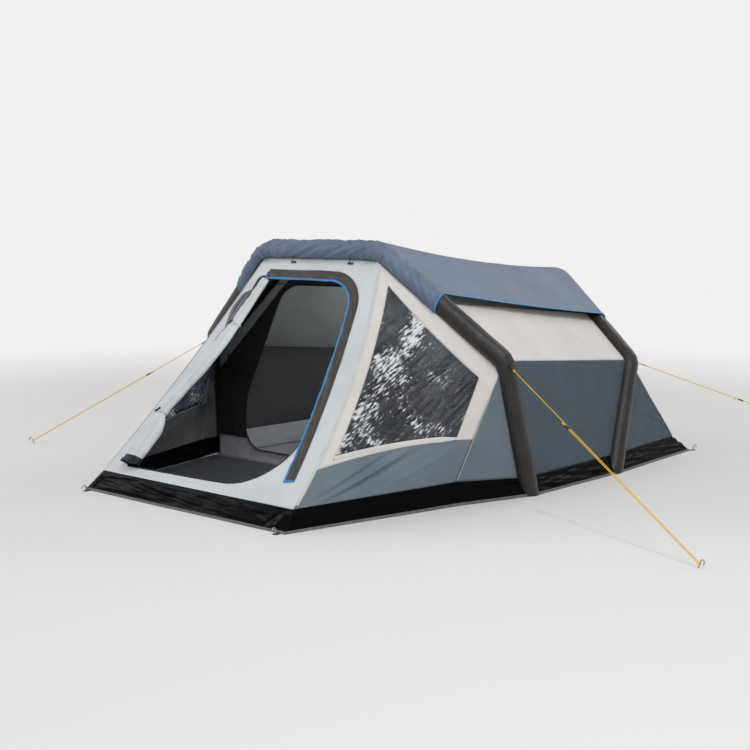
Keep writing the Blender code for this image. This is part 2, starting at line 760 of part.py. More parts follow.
# Front wall with the door opening
door_outline = rounded((
    (door_left_top, door_top, DOOR_HEEL_RADIUS),
    (door_right_top, door_top, DOOR_CROWN_RADIUS),
    (door_right_foot, door_right_sill, DOOR_LIP_RADIUS),
    (door_left_foot, DOOR_SILL, DOOR_HEEL_RADIUS)), steps=10)
door_cut = as_cutter(place("door_cut", meshed(flat([door_outline], 4 * WALL_SAG), wall_frame), "pale"))
wall_rows = shares(0, 1, WALL_ROWS)[:-1] + [1 - edge]
front_wall = panel("front_wall", front_sheet, shares(SEAM_SHARE, 1 - SEAM_SHARE, 1), wall_rows, "pale")
seat_on_arches(front_wall, (front_space,))
boolean(front_wall, door_cut)


# Porch sides: a twisted skin between the hip of the front wall and the stitched fold
def window_rows(s, row):
    """Place down the skin of row 0 the tube, 1 and 2 the window, 3 the panel's edge, 4 the hem."""
    rows = [0.0, WINDOW_TOP[0] + WINDOW_TOP[1] * s, WINDOW_BOTTOM[0] + WINDOW_BOTTOM[1] * s,
            PANEL_BOTTOM[0] + PANEL_BOTTOM[1] * s, 1.0]
    index = int(clamp(math.floor(row), 0, 3))
    return rows[index] + (rows[index + 1] - rows[index]) * (row - index)


def porch_at(s, row):
    return porch_skin(s, window_rows(s, row))


window_s = shares(WINDOW_FRONT, WINDOW_BACK, PORCH_COLUMNS)
frame_s = [SEAM_SHARE] + window_s + [1 - SEAM_SHARE]
lower_width = (fold_foot - porch_corner).length
lower_height = (porch_at(0.5, 4) - porch_at(0.5, 3)).length
for side, hand in (("right", 1), ("left", -1)):
    pane_rows = shares(1, 2, WINDOW_ROWS)
    frame = panel("porch_side_" + side, porch_at, frame_s, [0] + pane_rows + [3 - FRAME_GAP],
                  "warm", hole=(1, 1 + PORCH_COLUMNS, 1, 1 + WINDOW_ROWS), side=hand)
    seat_on_arches(frame, (front_space,))
    glass_s = [WINDOW_FRONT + SEAM_SHARE] + window_s[1:-1] + [WINDOW_BACK - SEAM_SHARE]
    panel("window_" + side, porch_at, glass_s, [1 + SEAM_SHARE] + pane_rows[1:-1] + [2 - SEAM_SHARE],
          "film", inner=lambda s, t: inward(porch_at(s, t), FILM), roughness=0.1, side=hand)
    lower_panel = drawn(porch_at, lower_width, lower_height, LOWER_FOLDS, 3, 4 - LOWER_GAP)
    panel("porch_lower_" + side, lower_panel, frame_s, shares(3, 4 - LOWER_GAP, LOWER_ROWS), "grey",
          side=hand)

    def gusset(s, t):
        return between(between(front_knee, fold_foot, t), between(front_knee, front_hem, t), s)

    rear_gore = panel("porch_gusset_" + side, gusset, shares(SEAM_SHARE, 1, 2),
                      shares(GUSSET_START, 1 - edge, 3), "grey", side=hand)
    seat_on_arches(rear_gore, (front_space,))


# Rear wall and its two side gores
def rear_sheet(s, t):
    return between(between(mirror(rear_top), rear_top, s),
                   between(mirror(rear_corner), rear_corner, s), t)


seat_on_arches(panel("rear_wall", rear_sheet, shares(edge, 1 - edge, 1), shares(0, 1 - edge, 1), "slate"),
               (rear_space,))
for side, hand in (("right", 1), ("left", -1)):
    def rear_gore(s, t):
        return between(along([rear_top, rear_knee, rear_hem], s), rear_corner, t)

    gore = panel("rear_gusset_" + side, rear_gore, shares(2 * SEAM_SHARE, 2 - 2 * SEAM_SHARE, 4),
                 shares(0, 1 - GORE_END, 3), "slate", side=hand)
    seat_on_arches(gore, (rear_space,))


# Mud skirt, with a ring for a peg at each corner
skirt_front_corner = Vector((PORCH_HALF + SKIRT_SIDE_SPREAD, -PORCH_DEPTH - SKIRT_SPREAD, 0))
skirt_fold = Vector((FOLD_X + SKIRT_FOLD_SPREAD, -FOLD_DEPTH - SKIRT_FOLD_SPREAD, 0))
skirt_front_leg = Vector((FRONT_FOOT_X + SKIRT_LEG_SPREAD, 0, 0))
skirt_rear_leg = Vector((REAR_FOOT_X + SKIRT_LEG_SPREAD, ARCH_SPACING, 0))
skirt_rear_corner = Vector((REAR_HALF + SKIRT_SPREAD * 0.8, REAR_DEPTH + SKIRT_SPREAD, 0))
drop = Vector((0, 0, -SEAM / 2))


def skirt(name, hem, ground, first, last, hand=1, folds=()):
    def skin(s, t):
        return between(along(hem, s) + drop, along(ground, s), t)

    stops = sorted(set([first] + [float(n) for n in range(1, len(hem) - 1)] + [last]))
    if not folds:
        return panel(name, skin, stops, [0, 0.5, 1], "skirt", roughness=0.35, side=hand)
    # The folds lie on the first length, from the front corner on
    width = (along(hem, 1) - along(hem, 0)).length
    height = (along(hem, 0.5) - along(ground, 0.5)).length
    folded = drawn(skin, width, height, folds)
    return panel(name, folded, shares(first, min(stops[1], last), SKIRT_COLUMNS) + stops[2:],
                 shares(0, 1, SKIRT_ROWS), "skirt", roughness=0.35, side=hand)


def ring(name, centre, towards):
    """A flat tab with a hole for the peg, lying on the ground."""
    matrix = axes(centre, towards, Vector((0, 0, 1))) @ Matrix.Translation((0, 0, RING_THICKNESS / 2))
    eye = [(math.cos(turn * math.pi / 8), math.sin(turn * math.pi / 8)) for turn in range(16)]
    eye_radius = PEG_RADIUS + RING_CLEARANCE
    hole = [(x * eye_radius, y * eye_radius) for x, y in eye]
    reach = RING_REACH + TAB_SINK
    round_end = [(x * RING_RADIUS, y * RING_RADIUS) for x, y in eye if x < 0.01]
    outline = [(reach, -RING_RADIUS * 0.7)] + [(reach, RING_RADIUS * 0.7)] + round_end
    return as_cutter(place(name, meshed(flat([outline, hole], RING_THICKNESS), matrix), "skirt"))


skirt_front = skirt("skirt_front", [mirror(porch_corner), porch_corner],
                    [mirror(skirt_front_corner), skirt_front_corner], SEAM_SHARE, 1 - SEAM_SHARE,
                    folds=FRONT_SKIRT_FOLDS)
peg_places = {}
for side, hand in (("right", 1), ("left", -1)):
    foot = Vector((hand * (skirt_front_corner.x - RING_INSET), skirt_front_corner.y - RING_REACH, 0))
    peg_places["front_" + side] = (foot, Vector((0, 1, 0)))
    boolean(skirt_front, ring("front_ring_" + side, foot, Vector((0, 1, 0))), "UNION")
    porch = skirt("skirt_porch_" + side, [porch_corner, fold_foot, front_hem],
                  [skirt_front_corner, skirt_fold, skirt_front_leg], SEAM_SHARE, 2, hand, PORCH_SKIRT_FOLDS)
    seat_on_arches(porch, (front_space,))
    sides = skirt("skirt_side_" + side, [front_hem, rear_hem], [skirt_front_leg, skirt_rear_leg],
                  0, 1, hand)
    seat_on_arches(sides, (front_space, rear_space))
skirt_rear = skirt("skirt_rear", [rear_hem, rear_corner, mirror(rear_corner), mirror(rear_hem)],
                   [skirt_rear_leg, skirt_rear_corner, mirror(skirt_rear_corner), mirror(skirt_rear_leg)],
                   0, 3)
seat_on_arches(skirt_rear, (rear_space,))
for side, hand in (("right", 1), ("left", -1)):
    towards = Vector((-hand * 0.5, -0.866, 0))
    foot = Vector((hand * skirt_rear_corner.x, skirt_rear_corner.y, 0)) - towards * RING_REACH
    peg_places["rear_" + side] = (foot, towards)
    boolean(skirt_rear, ring("rear_ring_" + side, foot, towards), "UNION")


# Storm flap over the zip, the zip track, and its slider at the open end
door_slope = (door_right_foot - door_right_top) / (door_top - door_right_sill)
flap_foot_x = door_right_top + door_slope * (door_top - FLAP_FOOT)
door_edge = rounded(((flap_left, door_top, 0), (door_right_top, door_top, DOOR_CROWN_RADIUS),
                     (flap_foot_x, FLAP_FOOT, 0)), steps=10)
zip_rise = DOOR_SILL_RISE * ZIP_INSET / (door_right_foot - door_left_foot)
zip_end = (door_left_foot + ZIP_INSET, DOOR_SILL + zip_rise, 0)
zip_path = rounded(((flap_left, door_top, 0), (door_right_top, door_top, DOOR_CROWN_RADIUS),
                    (door_right_foot, door_right_sill, DOOR_LIP_RADIUS), zip_end), steps=10)


def edge_strip(path, start, width):
    return offset_path(path, start) + offset_path(path, start + width)[::-1]


def draped(name, outline, h, thickness, colour):
    """A strip that follows the hollow of the wall, its middle h above the cloth."""
    bm = bmesh.new()
    bm.from_mesh(meshed(flat([outline], thickness)))
    for stop in wall_stops[1:-1]:
        bmesh.ops.bisect_plane(bm, geom=bm.verts[:] + bm.edges[:] + bm.faces[:], dist=0.00001,
                               plane_co=(0, stop, 0), plane_no=(0, 1, 0))
    bmesh.ops.triangulate(bm, faces=bm.faces[:])
    for vert in bm.verts:
        vert.co = on_wall(vert.co.x, vert.co.y, vert.co.z + h)
    place(name, mesh_from(bm, name), colour)


draped("storm_flap", edge_strip(door_edge, -FLAP_UNDERLAP, FLAP_WIDTH), GAP + CLOTH / 2, CLOTH, "flap")
draped("zip_track", edge_strip(zip_path, GAP, ZIP_WIDTH), -GAP - ZIP_THICKNESS / 2, ZIP_THICKNESS, "plastic")
slider_outline = rounded(((-SLIDER_LENGTH / 2, -SLIDER_WIDTH / 2, 0.003),
                          (SLIDER_LENGTH / 2, -SLIDER_WIDTH / 2, 0.003),
                          (SLIDER_LENGTH / 2, SLIDER_WIDTH / 2, 0.003),
                          (-SLIDER_LENGTH / 2, SLIDER_WIDTH / 2, 0.003)), steps=3)
slider_v = door_top - GAP - ZIP_WIDTH / 2
slider_out = facet_out(slider_v)
slider_centre = (on_wall(flap_left + SLIDER_LENGTH, slider_v)
                 - slider_out * (2 * GAP + ZIP_THICKNESS + SLIDER_HEIGHT / 2))
place("zip_slider", flat([slider_outline], SLIDER_HEIGHT), "plastic", 0.35, 0.0,
      axes(slider_centre, Vector((1, 0, 0)), slider_out))


# Door rolled up along the left edge of its opening, bound by toggles and a strap
def toggle(name, x, v, h, turn):
    """A small bar, thinner at its waist, where its cord holds it."""
    half = TOGGLE_LENGTH / 2
    out = facet_out(v)
    across = Vector((1, 0, 0))
    turned(name, ((0, half), (TOGGLE_RADIUS * 0.7, half - 0.0005), (TOGGLE_RADIUS, half - 0.004),
                  (TOGGLE_RADIUS, 0.006), (TOGGLE_WAIST, 0.003), (TOGGLE_WAIST, -0.003),
                  (TOGGLE_RADIUS, -0.006), (TOGGLE_RADIUS, 0.004 - half),
                  (TOGGLE_RADIUS * 0.7, 0.0005 - half), (0, -half)),
           axes(on_wall(x, v) + out * h, out, across * math.cos(turn) + out.cross(across) * math.sin(turn)),
           "plastic", 0.5, steps=12)


stations = []
for index, (inset, share, wide, high) in enumerate(ROLL_STATIONS):
    x = door_left_foot + (door_left_top - door_left_foot) * share + inset
    stations.append((x, DOOR_SILL + (door_top - DOOR_SILL) * share, wide, high))
roll = []
for index, (x, v, wide, high) in enumerate(stations):
    if index in TOGGLE_STATIONS:
        before, after = stations[index - 1], stations[index + 1]
        lean = (after[0] - before[0]) / (after[1] - before[1])
        roll += [(x + lean * part, v + part, wide, high) for part in (BAND_WIDTH / 2, -BAND_WIDTH / 2)]
    else:
        roll.append((x, v, wide, high))
rings = []
for first, second in zip(roll, roll[1:]):
    rings += [[a + (b - a) * step / ROLL_RINGS for a, b in zip(first, second)] for step in range(ROLL_RINGS)]
rings.append(roll[-1])
waves_a, run_a, waves_b, run_b = ROLL_WAVES
bm = bmesh.new()
loops = []
for x, v, wide, high in rings:
    loop = []
    for column in range(ROLL_COLUMNS):
        round_it = column / (ROLL_COLUMNS - 1)      # from the edge of the cloth right round to it
        angle = ROLL_EDGE + 2 * math.pi * round_it
        crossing = math.sin(waves_a * angle + run_a * v) * math.cos(waves_b * angle - run_b * v)
        crease = ROLL_CREASE * (0.5 + 0.5 * crossing)
        inset = GAP + ROLL_TURN * round_it + crease * math.sin(math.pi * round_it)
        loop.append(bm.verts.new(on_wall(x + (wide - inset) * math.cos(angle), v,
                                         high + GAP + (high - inset) * math.sin(angle))))
    loops.append(loop)
for loop_a, loop_b in zip(loops, loops[1:]):
    for column in range(ROLL_COLUMNS):
        ahead = (column + 1) % ROLL_COLUMNS
        bm.faces.new((loop_a[column], loop_a[ahead], loop_b[ahead], loop_b[column]))
for loop in (loops[0], loops[-1]):
    bm.faces.new(loop)
bmesh.ops.triangulate(bm, faces=bm.faces[:])
place("door_roll", mesh_from(bm, "door_roll"), "pale")
for name, station in zip(("upper", "lower"), TOGGLE_STATIONS):
    x, v, wide, high = stations[station]
    toggle("door_toggle_" + name, x, v, 2 * high + 2 * GAP + TOGGLE_RADIUS, TOGGLE_TURN)
for name, x in zip(("left", "right"), TIE_PLACES):
    toggle("top_tie_" + name, x, wall_length - TUBE_RADIUS - TIE_DROP, GAP + TOGGLE_RADIUS, 0)


# Inner tent: bathtub floor, walls and roof in one skin, and a front wall with its door
def inner_rear_y(z):
    return INNER_REAR - INNER_REAR_LEAN * z


def inner_corner(x, z, rear):
    return Vector((x, inner_rear_y(z) if rear else -INNER_FRONT, z))


def inner_line(rear, start):
    knee = (INNER_REAR_KNEE_X, INNER_REAR_KNEE_Z) if rear else (INNER_KNEE_X, INNER_KNEE_Z)
    top = (INNER_REAR_TOP_X, INNER_REAR_TOP_Z) if rear else (INNER_TOP_X, INNER_TOP_Z)
    floor = INNER_REAR_FLOOR_X if rear else INNER_FLOOR_X
    right = [inner_corner(*top, rear), inner_corner(*knee, rear), inner_corner(floor, start, rear)]
    return [mirror(point) for point in right[::-1]] + right


def block(name, corners, low, high):
    """An upright block over a plan of four corners."""
    bm = bmesh.new()
    bmesh.ops.create_cube(bm, size=2.0)
    plan = {(-1, -1): corners[0], (1, -1): corners[1], (1, 1): corners[2], (-1, 1): corners[3]}
    for vert in bm.verts:
        x, y = plan[(round(vert.co.x), round(vert.co.y))]
        vert.co = (x, y, low if vert.co.z < 0 else high)
    return mesh_from(bm, name)


def tub_plan(wall):
    return ((-INNER_FLOOR_X + wall, -INNER_FRONT + wall), (INNER_FLOOR_X - wall, -INNER_FRONT + wall),
            (INNER_REAR_FLOOR_X - wall, INNER_REAR - wall), (-INNER_REAR_FLOOR_X + wall, INNER_REAR - wall))


inner_outline = rounded([(x, z, radius) for x, z, radius in INNER_DOOR], steps=6)
upright = Matrix.Rotation(math.pi / 2, 4, "X")
upright.translation = Vector((0, -INNER_FRONT, 0))
inner_door_cut = as_cutter(place("inner_door_cut", meshed(flat([inner_outline], 0.04), upright), "mesh"))
floor_piece = place("inner_floor", block("inner_floor", tub_plan(0), 0, TUB_HEIGHT), "tub")
hollow = as_cutter(place("tub_hollow", block("tub_hollow", tub_plan(CLOTH), CLOTH, TUB_HEIGHT + 0.1), "tub"))
boolean(floor_piece, hollow)
boolean(floor_piece, inner_door_cut)

wall_start = TUB_HEIGHT + GAP
inner_front_points = inner_line(False, wall_start)
inner_rear_points = inner_line(True, wall_start)
bm = bmesh.new()
columns = len(inner_front_points) - 1
rows = 4
bmesh.ops.create_grid(bm, x_segments=columns, y_segments=rows, size=1.0)
cells = {}
for vert in bm.verts:
    i, j = round((vert.co.x + 1) / 2 * columns), round((vert.co.y + 1) / 2 * rows)
    vert.co = between(inner_front_points[i], inner_rear_points[i], j / rows)
    cells[(i, j)] = vert
bm.faces.new([cells[(i, rows)] for i in range(columns + 1)])
bmesh.ops.recalc_face_normals(bm, faces=bm.faces[:])
grown = bmesh.ops.extrude_face_region(bm, geom=bm.faces[:], use_keep_orig=True)["geom"]
for element in grown:
    if isinstance(element, bmesh.types.BMVert):
        flat_y = element.co.y < -INNER_FRONT + 0.001
        flat_z = element.co.z < wall_start + 0.001
        moved = inward(element.co, LINER)
        element.co = (moved.x, element.co.y if flat_y else moved.y, element.co.z if flat_z else moved.z)
place("inner_tent", mesh_from(bm, "inner_tent"), "liner")

front_outline = [(point.x, point.z) for point in inner_front_points]
sheet = upright @ Matrix.Translation((0, 0, GAP + LINER / 2))
bm = bmesh.new()
bm.from_mesh(meshed(flat([front_outline], LINER), sheet))
inner_front = place("inner_front_wall", mesh_from(bm, "inner_front_wall"), "mesh")
boolean(inner_front, inner_door_cut)

sheet_rear = INNER_FRONT + GROUNDSHEET_CLEARANCE
groundsheet = block("porch_groundsheet", (
    (-GROUNDSHEET_FRONT_HALF, -GROUNDSHEET_FRONT), (GROUNDSHEET_FRONT_HALF, -GROUNDSHEET_FRONT),
    (GROUNDSHEET_REAR_HALF, -sheet_rear), (-GROUNDSHEET_REAR_HALF, -sheet_rear)), 0, CLOTH)
place("porch_groundsheet", groundsheet, "tub")


# Pegs: a steel rod with a hooked head
def peg(name, centre, up, away, head, length):
    """Centre is where the cord or ring is held, up is along the rod, away is the hook's side."""
    top = centre + up * head
    points = [centre - up * (length - head), centre, top]
    for step in range(1, 9):
        angle = math.pi * step / 8
        points.append(top + away * PEG_HOOK_RADIUS * (1 - math.cos(angle))
                      + up * PEG_HOOK_RADIUS * math.sin(angle))
    points.append(points[-1] - up * PEG_HOOK_DROP)
    place(name, tube(points, PEG_RADIUS, 2), "steel", 0.35, 1.0)


for side, (foot, towards) in peg_places.items():
    peg("corner_peg_" + side, foot + Vector((0, 0, RING_THICKNESS)), Vector((0, 0, 1)), -towards,
        CORNER_PEG_HEAD, PEG_LENGTH)

# Guy lines: one strand down to the peg, round it, and back through the runner
for side, (x, y, share) in GUYS.items():
    start, direction, aside, centre, bend = guys[side]
    beside = centre + aside * bend
    route = [start, start + direction * CORD_RADIUS * 2, between(start, beside, 0.33),
             between(start, beside, 0.66), beside - direction * 0.02, beside]
    for step in range(1, 8):
        angle = math.pi * step / 8
        route.append(centre + (aside * math.cos(angle) + direction * math.sin(angle)) * bend)
    far = centre - aside * bend
    runner_at = (beside - start).length * share
    runner_centre = start + direction * runner_at - aside * bend
    tail = far - direction * ((beside - start).length - runner_at + RUNNER_LENGTH / 2 + TAIL_LENGTH)
    route += [far, far - direction * 0.02, between(far, tail, 0.5), tail]
    place("guy_line_" + side, tube(route, CORD_RADIUS, 2), "cord", 0.6)
    up = aside.cross(direction).normalized()
    if up.z < 0:
        up = -up
    peg("guy_peg_" + side, centre, up, direction, PEG_HEAD, PEG_LENGTH)
    half_width = bend + RUNNER_MARGIN
    corner = 0.004
    body = rounded(((-half_width, -RUNNER_THICKNESS / 2, corner), (half_width, -RUNNER_THICKNESS / 2, corner),
                    (half_width, RUNNER_THICKNESS / 2, corner), (-half_width, RUNNER_THICKNESS / 2, corner)),
                   steps=2)
    bore = CORD_RADIUS + RUNNER_CLEARANCE
    ring_of = [(math.cos(turn * math.pi / 6) * bore, math.sin(turn * math.pi / 6) * bore)
               for turn in range(12)]
    bores = [[(sx * bend + x, y) for x, y in ring_of] for sx in (-1, 1)]
    place("runner_" + side, flat([body] + bores, RUNNER_LENGTH), "plastic", 0.5, 0.0,
          axes(runner_centre, aside, direction))
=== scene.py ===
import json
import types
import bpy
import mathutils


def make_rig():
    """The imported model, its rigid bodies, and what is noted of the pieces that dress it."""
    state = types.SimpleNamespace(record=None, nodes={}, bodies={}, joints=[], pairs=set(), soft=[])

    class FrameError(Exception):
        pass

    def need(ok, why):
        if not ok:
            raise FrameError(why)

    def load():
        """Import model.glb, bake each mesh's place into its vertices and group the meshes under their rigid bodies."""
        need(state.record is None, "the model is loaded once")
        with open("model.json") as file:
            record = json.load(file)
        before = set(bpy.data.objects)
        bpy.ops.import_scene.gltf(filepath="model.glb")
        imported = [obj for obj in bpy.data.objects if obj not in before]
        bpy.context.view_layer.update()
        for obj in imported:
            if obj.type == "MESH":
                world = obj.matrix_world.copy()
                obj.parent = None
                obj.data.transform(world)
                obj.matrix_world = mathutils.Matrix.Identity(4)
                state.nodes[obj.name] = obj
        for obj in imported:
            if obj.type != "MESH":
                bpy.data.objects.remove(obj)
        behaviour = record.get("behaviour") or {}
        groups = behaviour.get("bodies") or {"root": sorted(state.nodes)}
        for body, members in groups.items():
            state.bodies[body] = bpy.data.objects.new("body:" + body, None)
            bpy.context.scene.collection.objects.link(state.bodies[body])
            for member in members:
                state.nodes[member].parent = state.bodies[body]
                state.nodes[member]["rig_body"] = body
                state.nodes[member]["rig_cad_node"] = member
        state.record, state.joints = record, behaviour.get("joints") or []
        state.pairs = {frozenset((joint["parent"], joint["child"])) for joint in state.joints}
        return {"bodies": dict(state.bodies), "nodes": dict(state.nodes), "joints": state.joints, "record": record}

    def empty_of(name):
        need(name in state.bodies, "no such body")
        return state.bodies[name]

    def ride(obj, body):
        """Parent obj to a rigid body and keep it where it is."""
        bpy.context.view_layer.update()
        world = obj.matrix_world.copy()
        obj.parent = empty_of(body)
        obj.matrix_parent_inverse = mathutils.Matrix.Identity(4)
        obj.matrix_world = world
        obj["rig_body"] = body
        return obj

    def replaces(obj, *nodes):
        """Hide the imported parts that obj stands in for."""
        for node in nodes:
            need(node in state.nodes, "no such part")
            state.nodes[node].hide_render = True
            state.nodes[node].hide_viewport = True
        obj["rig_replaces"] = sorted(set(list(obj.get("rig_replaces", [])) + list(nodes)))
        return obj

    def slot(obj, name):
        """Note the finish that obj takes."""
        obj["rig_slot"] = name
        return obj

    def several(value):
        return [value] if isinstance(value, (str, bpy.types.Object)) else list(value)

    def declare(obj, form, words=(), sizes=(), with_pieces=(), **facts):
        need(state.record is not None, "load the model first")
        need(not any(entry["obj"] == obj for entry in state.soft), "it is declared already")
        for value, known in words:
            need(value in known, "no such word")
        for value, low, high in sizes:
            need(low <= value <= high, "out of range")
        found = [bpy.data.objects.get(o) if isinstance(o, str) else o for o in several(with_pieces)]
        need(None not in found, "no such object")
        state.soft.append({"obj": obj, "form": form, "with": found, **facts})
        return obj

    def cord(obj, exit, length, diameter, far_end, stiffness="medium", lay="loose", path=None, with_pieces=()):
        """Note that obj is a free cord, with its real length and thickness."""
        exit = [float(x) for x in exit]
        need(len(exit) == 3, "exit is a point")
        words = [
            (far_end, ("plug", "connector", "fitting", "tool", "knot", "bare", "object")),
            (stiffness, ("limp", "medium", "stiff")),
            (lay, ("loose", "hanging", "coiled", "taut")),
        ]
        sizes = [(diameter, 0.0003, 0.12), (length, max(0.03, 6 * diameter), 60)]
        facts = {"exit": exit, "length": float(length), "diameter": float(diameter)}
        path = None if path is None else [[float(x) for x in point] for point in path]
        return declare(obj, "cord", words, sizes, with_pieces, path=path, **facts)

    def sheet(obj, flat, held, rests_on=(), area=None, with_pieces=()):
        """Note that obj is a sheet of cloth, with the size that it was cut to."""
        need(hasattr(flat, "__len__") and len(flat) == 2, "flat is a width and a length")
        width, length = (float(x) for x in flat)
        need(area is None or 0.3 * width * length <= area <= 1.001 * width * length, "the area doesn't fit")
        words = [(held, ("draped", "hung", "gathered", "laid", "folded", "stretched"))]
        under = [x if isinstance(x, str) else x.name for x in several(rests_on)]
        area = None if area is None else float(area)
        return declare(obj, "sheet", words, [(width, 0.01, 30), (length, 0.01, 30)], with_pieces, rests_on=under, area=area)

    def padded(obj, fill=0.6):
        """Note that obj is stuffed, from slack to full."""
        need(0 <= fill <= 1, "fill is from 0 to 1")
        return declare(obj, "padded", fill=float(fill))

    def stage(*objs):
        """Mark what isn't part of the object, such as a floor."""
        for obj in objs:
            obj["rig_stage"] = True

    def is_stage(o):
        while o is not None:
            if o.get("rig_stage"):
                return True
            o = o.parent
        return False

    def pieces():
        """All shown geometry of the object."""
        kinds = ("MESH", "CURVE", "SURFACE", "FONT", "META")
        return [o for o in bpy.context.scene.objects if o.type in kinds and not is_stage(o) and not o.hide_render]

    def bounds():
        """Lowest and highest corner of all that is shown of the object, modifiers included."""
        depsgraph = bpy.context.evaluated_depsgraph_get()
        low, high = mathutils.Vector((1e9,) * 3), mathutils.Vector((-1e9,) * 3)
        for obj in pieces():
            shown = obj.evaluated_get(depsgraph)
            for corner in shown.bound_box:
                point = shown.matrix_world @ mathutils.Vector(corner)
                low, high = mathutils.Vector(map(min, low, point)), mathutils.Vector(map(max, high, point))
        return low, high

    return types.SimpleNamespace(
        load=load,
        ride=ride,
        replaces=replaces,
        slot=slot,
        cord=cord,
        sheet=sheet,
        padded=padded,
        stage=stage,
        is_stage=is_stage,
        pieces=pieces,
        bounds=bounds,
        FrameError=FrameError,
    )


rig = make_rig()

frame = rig.load()
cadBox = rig.bounds()

import json
import math

import bmesh
import bpy
from mathutils import Vector, noise

scene = bpy.context.scene
scene.view_settings.view_transform = "Standard"
print("frame loaded")


# small helpers

xAxis, zAxis = Vector((1, 0, 0)), Vector((0, 0, 1))
hands = (("right", 1), ("left", -1))


def clamp(value, low=0.0, high=1.0):
    return max(low, min(high, value))


def smooth(value):
    value = clamp(value)
    return value * value * (3 - 2 * value)


def mix(a, b, share):
    return a + (b - a) * share


def flip(point):
    return Vector((-point.x, point.y, point.z))


def rough(x, y, z):
    return noise.noise(Vector((x, y, z)))


def shares(first, last, count):
    return [first + (last - first) * index / count for index in range(count + 1)]


def along(points, w):
    index = int(clamp(math.floor(w), 0, len(points) - 2))
    return mix(points[index], points[index + 1], w - index)


def softened(points, w, reach):
    # like along, with its kinks rounded over reach metres
    near = round(w)
    if 0 < near < len(points) - 1:
        before = (points[near] - points[near - 1]).length
        after = (points[near + 1] - points[near]).length
        span = (w - near) * (before if w < near else after)
        if abs(span) < reach:
            a = mix(points[near], points[near - 1], reach / before)
            b = mix(points[near], points[near + 1], reach / after)
            t = (span / reach + 1) / 2
            return mix(mix(a, points[near], t), mix(points[near], b, t), t)
    return along(points, w)


# camera: where the photographer stood

cameraPlace = {"spot": (5.290, -5.989, 1.5485), "turn": 41.317, "down": 6.768, "lens": 60.873, "sensor": 36}
lensData = bpy.data.cameras.new("camera")
lensData.lens, lensData.sensor_width = cameraPlace["lens"], cameraPlace["sensor"]
camera = bpy.data.objects.new("camera", lensData)
camera.location = cameraPlace["spot"]
camera.rotation_euler = (math.radians(90 - cameraPlace["down"]), 0, math.radians(cameraPlace["turn"]))
scene.collection.objects.link(camera)
scene.camera = camera


# node materials

materials = {}


def toLinear(code):
    values = [int(code[start:start + 2], 16) / 255 for start in (1, 3, 5)]
    return [v / 12.92 if v <= 0.04045 else ((v + 0.055) / 1.055) ** 2.4 for v in values] + [1.0]


def fillSockets(tree, node, sockets):
    for key, value in sockets.items():
        if isinstance(value, bpy.types.NodeSocket):
            tree.links.new(value, node.inputs[key])
        else:
            node.inputs[key].default_value = value


def addNode(tree, kind, sockets, **settings):
    made = tree.nodes.new("ShaderNode" + kind)
    for key, value in settings.items():
        setattr(made, key, value)
    fillSockets(tree, made, sockets)
    return made


def spots(tree, where, scale, detail, roughness=0.5, distortion=0.0):
    return addNode(tree, "TexNoise", {"Vector": where, "Scale": scale, "Detail": detail, "Roughness": roughness,
                                      "Distortion": distortion}).outputs["Fac"]


def bands(tree, where, millimetres, direction="X"):
    # a Wave texture's bands are pi / 10 apart at scale 1
    scale = 2 * math.pi / 20 / (millimetres / 1000)
    return addNode(tree, "TexWave", {"Vector": where, "Scale": scale}, bands_direction=direction).outputs["Fac"]


def ranged(tree, value, low=0.0, high=1.0, toLow=0.0, toHigh=1.0):
    return addNode(tree, "MapRange", {"Value": value, "From Min": low, "From Max": high, "To Min": toLow,
                                      "To Max": toHigh}).outputs["Result"]


def reckoned(tree, operation, first, second=0.0):
    return addNode(tree, "Math", {0: first, 1: second}, operation=operation).outputs[0]


def blended(tree, share, first, second):
    # between two colours, each a hex code or a socket
    first, second = [toLinear(item) if isinstance(item, str) else item for item in (first, second)]
    return addNode(tree, "Mix", {"Factor": share, "A": first, "B": second}, data_type="RGBA").outputs["Result"]


def bumped(tree, height, distance, strength, below=None):
    sockets = {"Height": height, "Distance": distance, "Strength": strength}
    if below is not None:
        sockets["Normal"] = below
    return addNode(tree, "Bump", sockets).outputs["Normal"]


def turned(tree, where, angle=0.0, scale=(1.0, 1.0, 1.0)):
    return addNode(tree, "Mapping", {"Vector": where, "Rotation": (0, 0, angle), "Scale": scale}).outputs["Vector"]


def spotScale(millimetres):
    return 1000 / millimetres


def newMaterial(name):
    made = bpy.data.materials.new(name)
    made.use_nodes = True
    materials[name] = made
    tree = made.node_tree
    where = addNode(tree, "TexCoord", {})
    return tree, tree.nodes["Principled BSDF"], where.outputs["UV"], where.outputs["Object"]


def wovenCloth(name, look):
    # coated polyester: a plain weave under a thin coating, with soft handling creases
    tree, shader, onCloth, inSpace = newMaterial(name)
    cloudy = spots(tree, inSpace, spotScale(look["patch"]), 4.0, 0.6)
    tone = blended(tree, ranged(tree, cloudy, 0.3, 0.7), look["colour"], look["shade"])
    weave = reckoned(tree, "MULTIPLY", *[bands(tree, onCloth, look["thread"], way) for way in ("X", "Y")])
    darker = ranged(tree, weave, toLow=1 - look["weave"], toHigh=1 + look["weave"] / 2)
    woven = addNode(tree, "VectorMath", {0: tone, "Scale": darker}, operation="SCALE")
    creases = spots(tree, inSpace, spotScale(look["crease"]), 5.0, 0.55, 0.6)
    deep = bumped(tree, creases, look["depth"] / 1000, 1.0)
    patchy = 0.06
    fillSockets(tree, shader, {
        "Base Color": woven.outputs["Vector"], "Normal": bumped(tree, weave, 0.0002, 0.5, deep),
        "Roughness": ranged(tree, cloudy, toLow=look["roughness"] - patchy, toHigh=look["roughness"] + patchy),
        "Sheen Weight": look["sheen"], "Sheen Roughness": 0.4, "Specular IOR Level": look["gloss"]})


